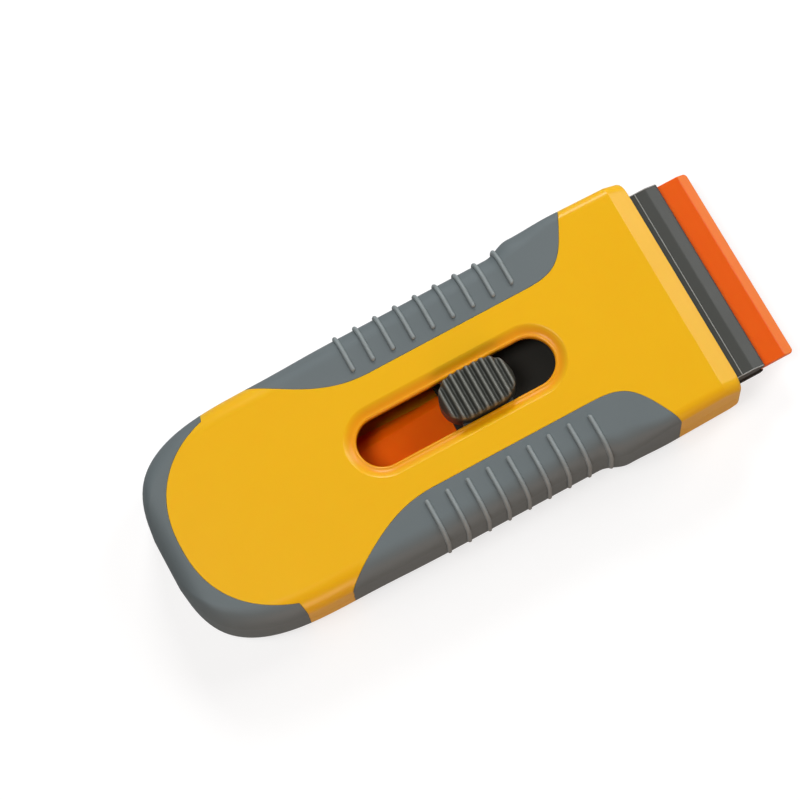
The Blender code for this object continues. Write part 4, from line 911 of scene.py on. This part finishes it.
# %% Sizes of the shells
WALL = GRIP_THICKNESS + 0.3 * MM + 1.0 * MM
RECESS = GRIP_THICKNESS + FIT
ROOF = BODY_THICKNESS - WALL
CHANNEL_Y, CHANNEL_TOP = mm(-6.9, 6.9), BODY_THICKNESS - 2.0 * MM
MOUTH_LIP, MOUTH_REAR_X = mm(3.0, 18.0)
MOUTH_HALF_WIDTH, MOUTH_Z = 20.0 * MM, mm(4.1, 11.2)
SLOT_CENTRE_X, SLOT_LENGTH, SLOT_WIDTH = mm(0.2, 39.1, 9.4)
SURROUND_MARGIN, SURROUND_LEDGE, SURROUND_DEPTH, SLOT_LIP = mm(2.6, 0.5, 0.9, 0.45)
LIP_STEPS, SLOPE_STEPS = 6, 12
GUIDE_X, GUIDE_Y, GUIDE_FOOT = mm(-19.35, 17.55), mm(7.1, 8.0), 7.5 * MM
SCREWS = (mm(14.55, 14.6), mm(14.55, -14.6), mm(-39.75, 13.6), mm(-39.75, -13.6))
POST_RADIUS, POST_TOP, SCREW_HOLE_RADIUS, SCREW_HOLE_TOP = mm(2.3, 4.8, 1.4, 9.0)
COUNTERBORE_RADIUS, COUNTERBORE_DEPTH = mm(2.5, 1.6)
RAIL_X, RAIL_Y, RAIL_FOOT = mm(17.85, 43.55), mm(13.5, 14.9), 2.0 * MM
BAY_HALF_WIDTH = 11.0 * MM
BAY_FRONT_RIB = mm(14.05, 15.15), mm(2.0, 3.5)
BAY_REAR_RIB = mm(-31.05, -29.95), mm(2.0, 5.0)
DOOR_REAR_X, DOOR_FRONT_X, DOOR_HALF_WIDTH, DOOR_DEPTH = mm(-28.85, 14.05, 10.7, 2.0)
BAY_FRONT_X, BAY_OPENING_HALF_WIDTH, HINGE_ROOM_FRONT_X = mm(13.25, 9.9, -26.25)
OPENING_FOOT, NOTCH_X, NOTCH_RADIUS, NOTCH_DEPTH = mm(0.3, 13.75, 5.0, 1.2)
print("slot", round(SLOT_LENGTH / MM, 1), "mm long, wall", round(WALL / MM, 1), "mm thick")


# %% The slot's sloping rim
def slot_surround():
    """A soft slope from the face down to a narrow ledge, whose lip rounds off into the slot."""
    rings = []
    for i in range(LIP_STEPS + 1):
        turn = math.pi / 2 * i / LIP_STEPS
        inward = SLOT_LIP * (1 - math.sin(turn)) - FIT
        rings.append((SLOT_LIP - SLOT_LIP * math.cos(turn) - FIT, SURROUND_DEPTH + inward))
    for i in range(SLOPE_STEPS + 1):
        share = i / SLOPE_STEPS
        margin = SURROUND_LEDGE + (SURROUND_MARGIN - SURROUND_LEDGE) * share
        rings.append((margin, SURROUND_DEPTH * (1 + math.cos(math.pi * share)) / 2 - FIT * share))
    rings.append((SURROUND_MARGIN + 2 * FIT, -2 * FIT))
    shape = []
    for margin, depth in rings:
        outline = stadium(SLOT_CENTRE_X, SLOT_LENGTH + 2 * margin, SLOT_WIDTH + 2 * margin)
        shape.append([Vector((x, y, BODY_THICKNESS - depth)) for x, y in outline])
    print("slot surround of", len(rings), "rings")
    return to_object("slot_surround", loft(shape))


# %% What both shells are cut by
inside = to_object("inside", housing_core(WALL, FRONT_X - MOUTH_LIP))
mouth_x = (MOUTH_REAR_X, FRONT_X + OVERRUN)
mouth = to_object("mouth", block(mouth_x, (-MOUTH_HALF_WIDTH, MOUTH_HALF_WIDTH), MOUTH_Z))
recess_core = to_object("recess_core", housing_core(RECESS, GRIP_FRONT_X + 2 * OVERRUN))
recesses = [
    side_grip_region("left_recess", 1, FIT),
    side_grip_region("right_recess", -1, FIT),
    tail_grip_region("tail_recess", FIT),
]
for recess in recesses:
    cut(recess, recess_core)
housing_span = (TAIL_X - OVERRUN, FRONT_X + OVERRUN), (-OUTSIDE, OUTSIDE)
print("recesses", len(recesses))

# %% The upper shell
upper = to_object("upper_housing", housing_solid())
upper_half = to_object("upper_half", block(*housing_span, (SEAM_HEIGHT + FIT / 2, ABOVE)))
channel_x = (SLOT_CENTRE_X - SLOT_LENGTH / 2 - OVERRUN, FRONT_X - MOUTH_LIP - EMBED)
channel = to_object("roof_channel", block(channel_x, CHANNEL_Y, (SEAM_HEIGHT, CHANNEL_TOP)))
opening = stadium(SLOT_CENTRE_X, SLOT_LENGTH, SLOT_WIDTH)
slot = to_object("slot", plan_prism(opening, (SEAM_HEIGHT, ABOVE)))
surround = slot_surround()
guides = []
for name, sides in (("left_guide", GUIDE_Y), ("right_guide", (-GUIDE_Y[1], -GUIDE_Y[0]))):
    guides.append(to_object(name, block(GUIDE_X, sides, (GUIDE_FOOT, ROOF + EMBED))))
keep(upper, upper_half)
cut(upper, inside, channel, mouth, slot, surround, *recesses)
fuse(upper, *guides)
settle(upper)
clear_away([upper_half, channel, slot, surround, *guides])
wear(upper, "housing", "yellow_plastic", yellow, "top_shell")

# %% The lower shell
lower = to_object("lower_housing", housing_solid())
lower_half = to_object("lower_half", block(*housing_span, (-OVERRUN, SEAM_HEIGHT - FIT / 2)))
posts, holes = [], []
for i, (x, y) in enumerate(SCREWS):
    post = upright_rod(POST_RADIUS, x, y, (WALL - EMBED, POST_TOP))
    hole = upright_rod(SCREW_HOLE_RADIUS, x, y, (-OVERRUN, SCREW_HOLE_TOP))
    counterbore = upright_rod(COUNTERBORE_RADIUS, x, y, (-OVERRUN, COUNTERBORE_DEPTH))
    posts.append(to_object(f"post_{i}", post))
    holes.append(to_object(f"hole_{i}", hole))
    holes.append(to_object(f"counterbore_{i}", counterbore))
rail_z = (RAIL_FOOT, MOUTH_Z[0])
bay_y = (-BAY_HALF_WIDTH, BAY_HALF_WIDTH)
door_y = (-DOOR_HALF_WIDTH, DOOR_HALF_WIDTH)
opening_y = (-BAY_OPENING_HALF_WIDTH, BAY_OPENING_HALF_WIDTH)
opening_z = (OPENING_FOOT, WALL + OVERRUN)
supports = [
    to_object("left_rail", block(RAIL_X, RAIL_Y, rail_z)),
    to_object("right_rail", block(RAIL_X, (-RAIL_Y[1], -RAIL_Y[0]), rail_z)),
    to_object("bay_front_rib", block(BAY_FRONT_RIB[0], bay_y, BAY_FRONT_RIB[1])),
    to_object("bay_rear_rib", block(BAY_REAR_RIB[0], bay_y, BAY_REAR_RIB[1])),
]
openings = [
    to_object("door_opening", block((DOOR_REAR_X, DOOR_FRONT_X), door_y, (-OVERRUN, DOOR_DEPTH))),
    to_object("bay_opening", block((DOOR_REAR_X, BAY_FRONT_X), opening_y, opening_z)),
    to_object("door_edge_room", block((DOOR_REAR_X, HINGE_ROOM_FRONT_X), door_y, opening_z)),
    to_object("finger_notch", upright_rod(NOTCH_RADIUS, NOTCH_X, 0, (-OVERRUN, NOTCH_DEPTH))),
]
keep(lower, lower_half)
cut(lower, inside, mouth, *recesses)
fuse(lower, *posts, *supports)
cut(lower, *openings, *holes)
settle(lower)
clear_away([lower_half, inside, mouth, recess_core, *recesses, *posts, *supports, *openings, *holes])
wear(lower, "housing", "yellow_plastic", yellow, "bottom_shell")

# %% [markdown]
# ## Thumb button
# The button's cap is long and round-ended, crowned from end to end, with nine round ridges
# across it that give a thumb its hold, and that run out over the rim. The smooth cap is a
# grid of heights over its plan. A small tree then cuts the ridges, which repeat along it.

# %% The smooth cap
BUTTON_X, BUTTON_LENGTH, BUTTON_WIDTH = mm(4.45, 14.4, 8.8)
BUTTON_TOP, BUTTON_FOOT, BUTTON_END_DROP, BUTTON_ROUND = mm(16.5, 10.7, 1.1, 0.7)


def cap_height(x, from_rim):
    """The crowned back, rounded off within a short way of the rim."""
    crown = BUTTON_END_DROP * (abs(x) / (BUTTON_LENGTH / 2)) ** 4
    return BUTTON_TOP - crown - rounding(from_rim, BUTTON_ROUND)


def button_cap(columns=240, rows=34):
    """The cap: columns across it, which stand closer at the round ends, and a skirt."""
    shape = bmesh.new()
    radius = BUTTON_WIDTH / 2
    straight = BUTTON_LENGTH / 2 - radius
    close = (1, 2, columns - 2, columns - 1)
    grid = []
    for i in range(1, columns):
        x = -math.cos(math.pi * i / columns) if i in close else 2 * i / columns - 1
        x *= BUTTON_LENGTH / 2
        past = max(abs(x) - straight, 0.0)
        half = math.sqrt(max(radius**2 - past**2, 0.0))
        line = []
        for j in range(rows + 1):
            y = -half * math.cos(math.pi * j / rows)
            from_rim = radius - math.hypot(past, y)
            line.append(shape.verts.new((BUTTON_X + x, y, cap_height(x, from_rim))))
        grid.append(line)
    for near, far in zip(grid, grid[1:]):
        for j in range(rows):
            shape.faces.new((near[j], far[j], far[j + 1], near[j + 1]))
    shape.faces.new(grid[0])
    shape.faces.new(reversed(grid[-1]))
    rim = [e for e in shape.edges if e.is_boundary]
    skirt = bmesh.ops.extrude_edge_only(shape, edges=rim)["geom"]
    feet = [v for v in skirt if isinstance(v, bmesh.types.BMVert)]
    for foot in feet:
        foot.co.z = BUTTON_FOOT
    bmesh.ops.contextual_create(shape, geom=[e for e in shape.edges if e.is_boundary])
    return shape


cap = to_object("button_cap", button_cap())
print("cap", len(cap.data.vertices), "points")

# %% Tree: ridges across a cap
RIDGE_PITCH, RIDGE_COUNT = 1.55 * MM, 9
RIDGE_START = BUTTON_X + RIDGE_PITCH * RIDGE_COUNT / 2
RIDGE_SIZES = {
    "First X": RIDGE_START, "Pitch": RIDGE_PITCH, "Height": 0.8 * MM, "Count": RIDGE_COUNT,
    "Top Z": 13.0 * MM,
}
tree, given, result = start_geometry("thumb_ridges", RIDGE_SIZES)
parts = add(tree, "SeparateXYZ", Vector=add(tree, "InputPosition"))
turns = (given["First X"] - parts[0]) / given["Pitch"]
depth = calc("MULTIPLY_ADD", calc("COSINE", turns * math.tau), 0.5, 0.5)
in_row = (turns > 0.0) * (turns < given["Count"])
depth = (depth - 1.0) * in_row + 1.0
lowered = depth * given["Height"] * -1.0 * (parts[2] > given["Top Z"])
shift = add(tree, "CombineXYZ", Z=lowered)
ridged = add(tree, "SetPosition", Geometry=given["Geometry"], Offset=shift)
ridge_tree = end_geometry(ridged, given, result)

# %% The button: ridged cap, wings under the roof and stem
# The button's ridge crests are painted far lighter than its grey: a painted highlight, with some
# thumb wear in it.
button_grey = plastic(
    "button_grey", (0.032, 0.034, 0.029), (0.026, 0.028, 0.024), (0.23, 0.235, 0.21),
    0.42, 0.12, 0.3, 0.004, 0.35,
    Ridge_Start=RIDGE_START, Ridge_Pitch=RIDGE_PITCH, Ridge_Foot=14.8 * MM, Ridge_Share=0.6,
)
button = grown("button_ridges", ridge_tree, RIDGE_SIZES, button_grey, start=cap)
button.name = "ridged_button"
wings = to_object("button_wings", block(mm(-0.55, 9.45), mm(-6.4, 6.4), mm(10.5, 12.2)))
stem = to_object("button_stem", upright_rod(1.2 * MM, BUTTON_X, 0, mm(6.9, 12.0)))
fuse(button, wings, stem)
settle(button)
clear_away([wings, stem])
wear(button, "button", "dark_grey_plastic", button_grey, "thumb_button")

# %% [markdown]
# ## Coil under the button
# A short compression coil lifts the button. A spiral swept with a round wire is just what
# Geometry Nodes do best, and its ends are capped. It stands on the carrier, at a height that
# stays clear of the button's wings.

# %% Tree and coil
COIL_SIZES = {
    "Turns": 3.0, "Radius": 2.25 * MM, "Wire": 0.5 * MM, "Low Z": 7.75 * MM,
    "High Z": 9.95 * MM, "Centre X": BUTTON_X,
}
tree, given, result = start_geometry("compression_coil", COIL_SIZES)
line = add(
    tree, "CurveSpiral", Resolution=48, Rotations=given["Turns"], Start_Radius=given["Radius"],
    End_Radius=given["Radius"], Height=given["High Z"] - given["Low Z"],
)
foot = add(tree, "CombineXYZ", X=given["Centre X"], Z=given["Low Z"])
line = add(tree, "Transform", Geometry=line, Translation=foot)
wire = add(tree, "CurvePrimitiveCircle", Resolution=14, Radius=given["Wire"] / 2.0)
coil = add(tree, "CurveToMesh", Curve=line, Profile_Curve=wire, Fill_Caps=True)
coil_tree = end_geometry(coil, given, result)
coil = settle(grown("button_coil", coil_tree, COIL_SIZES, steel))
wear(coil, "carrier", "steel", steel, "button_spring")
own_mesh(coil)

# %% [markdown]
# ## Blades, jaw, holder and door
# These nodes already have the right shapes, but their edges are razor-sharp, as no moulded
# edge is. A copy of each node is merged from its loose triangles, its flat faces are joined
# again, and the edges that show get a narrow round. The hinge parts hidden in the head keep
# their plain edges.

# %% A helper that rounds the edges of a copy
def softened(name, node, width, shows=lambda x: True, bend=math.radians(12)):
    """A copy of a node whose edges, where shows(x) is true, have a round of this width."""
    shape = bmesh.new()
    shape.from_mesh(nodes[node].data)
    bmesh.ops.remove_doubles(shape, verts=shape.verts, dist=0.001 * MM)
    bmesh.ops.dissolve_limit(
        shape, angle_limit=math.radians(0.5), verts=shape.verts, edges=shape.edges, delimit={"NORMAL"}
    )
    edges = []
    for edge in shape.edges:
        if len(edge.link_faces) == 2 and edge.calc_face_angle(0) > bend:
            if all(shows(v.co.x) for v in edge.verts):
                edges.append(edge)
    bmesh.ops.bevel(
        shape, geom=edges, offset=width, segments=3, profile=0.5, affect="EDGES", clamp_overlap=True
    )
    mesh = bpy.data.meshes.new(name)
    shape.to_mesh(mesh)
    shape.free()
    piece = bpy.data.objects.new(name, mesh)
    scene.collection.objects.link(piece)
    print(name, "has", len(edges), "rounded edges")
    return settle(piece)


# %% Blades
for name, node in (
    ("working_blade", "scraper_blade"),
    ("upper_stored_blade", "upper_spare_blade"),
    ("lower_stored_blade", "lower_spare_blade"),
):
    in_use = node == "scraper_blade"
    # The stored blades take the lighter orange, painted light.
    body, look = ("carrier", orange) if in_use else ("housing", stored_orange_painted_light)
    wear(softened(name, node, 0.07 * MM), body, "orange_plastic", look, node)

# %% Jaw, holder and door
jaw = softened("upper_jaw", "blade_clamp", 0.12 * MM, lambda x: x > 40.0 * MM)
wear(jaw, "clamp", "dark_grey_plastic", dark_grey, "blade_clamp")
# The holder takes the darker grey, painted shade.
holder = softened("sliding_holder", "blade_carrier", 0.12 * MM, lambda x: x > 42.0 * MM)
wear(holder, "carrier", "dark_grey_plastic", holder_grey_painted_shade, "blade_carrier")
door = softened("back_door", "storage_door", 0.2 * MM, lambda x: x > -25.0 * MM)
wear(door, "door", "yellow_plastic", yellow, "storage_door")

# %% [markdown]
# ### Fine lines on the jaw
# The jaw has a fine raised line along its flat back, just in front of the head, and one along
# each of its end edges. They catch the light, so they are narrow round beads, half sunk in
# the jaw: wires laid along the edges, which a small tree turns into round beads. Their light
# grey is a painted highlight.

# %% Tree: a bead along wires
tree, given, result = start_geometry("round_bead", {"Radius": 0.1 * MM})
path = add(tree, "MeshToCurve", Mesh=given["Geometry"])
ring = add(tree, "CurvePrimitiveCircle", Resolution=10, Radius=given["Radius"])
bead = add(tree, "CurveToMesh", Curve=path, Profile_Curve=ring, Fill_Caps=True)
bead_tree = end_geometry(bead, given, result)

# %% The jaw's beads
JAW_TOP, JAW_HALF_WIDTH, BEAD_RADIUS = mm(9.3, 19.7, 0.1)
CREASE_X, BEND_X = mm(47.75, 49.95)
END_BEAD_REAR_X = CREASE_X - 5 * MM
END_BEAD_FRONT_X, END_BEAD_DROP = BEND_X + 2.15 * MM, 0.81 * MM
inner = JAW_HALF_WIDTH - BEAD_RADIUS
wires = [[(CREASE_X, -inner, JAW_TOP), (CREASE_X, inner, JAW_TOP)]]
for y in (-inner, inner):
    front = (END_BEAD_FRONT_X, y, JAW_TOP - END_BEAD_DROP)
    wires.append([(END_BEAD_REAR_X, y, JAW_TOP), (BEND_X, y, JAW_TOP), front])
shape = bmesh.new()
for wire in wires:
    points = [shape.verts.new(point) for point in wire]
    for near, far in zip(points, points[1:]):
        shape.edges.new((near, far))
start = to_object("jaw_beads", shape)
beads = settle(grown("jaw_beads", bead_tree, {"Radius": BEAD_RADIUS}, bead_grey_painted_highlight, start))
wear(beads, "clamp", "dark_grey_plastic", bead_grey_painted_highlight)

# %% [markdown]
# ## Case screws
# Four tapping screws hold the shells together from the back: a low head with a cross
# recess, a shank and a thread. All four are one tree's instances, and the thread is a
# spiral swept with a small triangle.

# %% Tree: a cross-head screw at four places
SCREW_SIZES = {
    "Front X": SCREWS[0][0], "Rear X": SCREWS[2][0], "Front Side": SCREWS[0][1],
    "Rear Side": SCREWS[2][1], "Low Z": 0.3 * MM, "Head Radius": 2.2 * MM, "Head": 1.0 * MM,
    "Core": 0.85 * MM, "Length": 9.0 * MM, "Tip": 1.2 * MM, "Tip Radius": 0.05 * MM,
    "Slot Width": 0.6 * MM, "Slot Depth": 0.7 * MM, "Slot Reach": 1.54 * MM,
    "Thread Turns": 7.0, "Thread": 0.25 * MM,
}
tree, given, result = start_geometry("case_screws", SCREW_SIZES)
HEAD_SIDES, SHANK_SIDES = 40, 24


def raised(geometry, z):
    """A geometry of this tree, moved up by z."""
    return add(tree, "Transform", Geometry=geometry, Translation=add(tree, "CombineXYZ", Z=z))


# The head is a low cone under a disc, on a shank with a tip. Each overlaps the one before it
# a little, so that their union is one solid.
half_head = given["Head"] / 2.0
dome = add(
    tree, "MeshCone", Vertices=HEAD_SIDES, Radius_Top=given["Head Radius"],
    Radius_Bottom=given["Head Radius"] - half_head, Depth=half_head,
)
disc = add(
    tree, "MeshCylinder", Vertices=HEAD_SIDES, Radius=given["Head Radius"], Depth=half_head
)
shank_length = given["Length"] - given["Tip"]
shank = add(
    tree, "MeshCylinder", Vertices=SHANK_SIDES, Radius=given["Core"], Depth=shank_length
)
tip = add(
    tree, "MeshCone", Vertices=SHANK_SIDES, Radius_Top=given["Tip Radius"],
    Radius_Bottom=given["Core"], Depth=given["Tip"],
)
solids = [
    dome,
    raised(disc, given["Head"] * 0.74),
    raised(shank, calc("MULTIPLY_ADD", shank_length, 0.5, given["Head"] * 0.98)),
    raised(tip, shank_length + given["Head"] * 0.97),
]
whole = add(tree, "MeshBoolean", {"operation": "UNION", "solver": "EXACT"}, _1=solids)
long_side = given["Slot Reach"] * 2.0
tall = given["Slot Depth"] * 2.0
bars = []
for x, y in ((long_side, given["Slot Width"]), (given["Slot Width"], long_side)):
    bars.append(add(tree, "MeshCube", Size=add(tree, "CombineXYZ", X=x, Y=y, Z=tall)))
crossed = add(
    tree, "MeshBoolean", {"operation": "DIFFERENCE", "solver": "EXACT"}, _0=whole, _1=bars
)
spiral = add(
    tree, "CurveSpiral", Resolution=24, Rotations=given["Thread Turns"],
    Start_Radius=given["Core"], End_Radius=given["Core"], Height=shank_length * 0.8,
)
spiral = raised(spiral, calc("MULTIPLY_ADD", shank_length, 0.18, given["Head"]))
edge = add(tree, "CurvePrimitiveCircle", Resolution=3, Radius=given["Thread"])
thread = add(tree, "CurveToMesh", Curve=spiral, Profile_Curve=edge, Fill_Caps=True)
screw = add(tree, "JoinGeometry", Geometry=[crossed, thread])
# The first two screws stand in front, the others at the rear, and each came to rest turned
# a little further.
index = add(tree, "InputIndex")
place = []
for way in ("X", "Side"):
    ends = {"_2": given["Front " + way], "_3": given["Rear " + way]}
    place.append(add(tree, "Mix", {"data_type": "FLOAT"}, _0=index > 1.5, **ends))
side = calc("MULTIPLY_ADD", calc("FLOORED_MODULO", index, 2.0), -2.0, 1.0)
spot = add(tree, "CombineXYZ", X=place[0], Y=place[1] * side, Z=given["Low Z"])
spots = add(tree, "MeshLine", Count=4)
spots = add(tree, "SetPosition", Geometry=spots, Position=spot)
turn = add(tree, "CombineXYZ", Z=index * 0.6)
screws = add(tree, "InstanceOnPoints", Points=spots, Instance=screw, Rotation=turn)
screw_tree = end_geometry(screws, given, result)

# %% The four screws
screws = settle(grown("case_screws", screw_tree, SCREW_SIZES, steel))
places = [f"{end}_{side}_screw" for end in ("front", "rear") for side in ("left", "right")]
wear(screws, "housing", "steel", steel, *places)

# %% [markdown]
# ## Floor, light and background
# The tool lies on a pale floor. A large lamp above its left side gives the soft shade that
# the photograph shows, one overhead and one in front light the face and its bevels, a warm
# one low on the right fills that side, and the world fills the rest. A weak lamp under the
# floor lights the back. The white background shows only to the camera, in reflections and
# through clear surfaces, so that it adds no light of its own.

# %% Floor
FLOOR_SIZE, FLOOR_DROP = 1.6, 0.05 * MM
FLOOR_GREY, FLOOR_GLOW, FLOOR_IN_SHINE = 0.32, 0.72, 0.12


def is_seen(tree, by_shine=1.0):
    """1 for rays that show the background itself: from the camera, a shiny or a clear surface."""
    path = add(tree, "LightPath")
    shown = calc("MAXIMUM", path["Is Camera Ray"], path["Is Glossy Ray"] * by_shine)
    return calc("MAXIMUM", shown, path["Is Transmission Ray"])


bpy.ops.mesh.primitive_plane_add(size=FLOOR_SIZE, location=(0, 0, -FLOOR_DROP))
floor = bpy.context.object
floor.name = "floor"
paper, tree, shader = new_material("paper")
feed(
    shader, Base_Color=(FLOOR_GREY, FLOOR_GREY, FLOOR_GREY, 1), Roughness=0.9,
    Emission_Color=(1, 1, 1, 1), Emission_Strength=is_seen(tree, FLOOR_IN_SHINE) * FLOOR_GLOW,
)
# Seen from below the floor is clear, and the lamp under it shines through, so that the back
# and the open door show.
backfacing = add(tree, "NewGeometry")["Backfacing"]
clear = calc("MAXIMUM", backfacing, add(tree, "LightPath")["Is Shadow Ray"])
mixed = add(
    tree, "MixShader", Fac=clear, _1=Wire(shader.outputs[0]), _2=add(tree, "BsdfTransparent")
)
feed(tree.nodes["Material Output"], Surface=mixed)
floor.data.materials.append(paper)
print("floor", FLOOR_SIZE, "m across")

# %% World and lamps
WORLD_FILL, WORLD_SEEN = 0.025, 1.0
LAMPS = {
    # name: place, width, height, watts, colour
    "key_lamp": ((0.3, 0.76, 0.58), 0.35, 0.35, 5.0, (1, 1, 1)),
    "overhead_lamp": ((-0.36, 0.0, 0.93), 0.4, 0.4, 4.2, (1, 1, 1)),
    "front_lamp": ((0.78, 0.25, 0.57), 0.4, 0.75, 4.3, (1, 1, 1)),
    "warm_fill": ((-0.1, -0.78, 0.16), 0.4, 0.4, 2.8, (1, 0.66, 0.48)),
    "under_lamp": ((0.3, 0.35, -0.75), 0.5, 0.5, 2.6, (1, 1, 1)),
}
world = bpy.data.worlds.new("studio")
world.use_nodes = True
scene.world = world
tree = world.node_tree
level = spread(is_seen(tree), 0.0, 1.0, WORLD_FILL, WORLD_SEEN)
feed(tree.nodes["Background"], Color=(1, 1, 1, 1), Strength=level)
for name, (place, width, height, power, colour) in LAMPS.items():
    light = bpy.data.lights.new(name, "AREA")
    light.shape = "ELLIPSE"
    light.size, light.size_y = width, height
    light.energy = power
    light.color = colour
    lamp = bpy.data.objects.new(name, light)
    scene.collection.objects.link(lamp)
    lamp.location = place
    lamp.rotation_euler = (-Vector(place)).to_track_quat("-Z", "Y").to_euler()
scene.view_settings.view_transform = "Standard"
print("lamps", list(LAMPS))
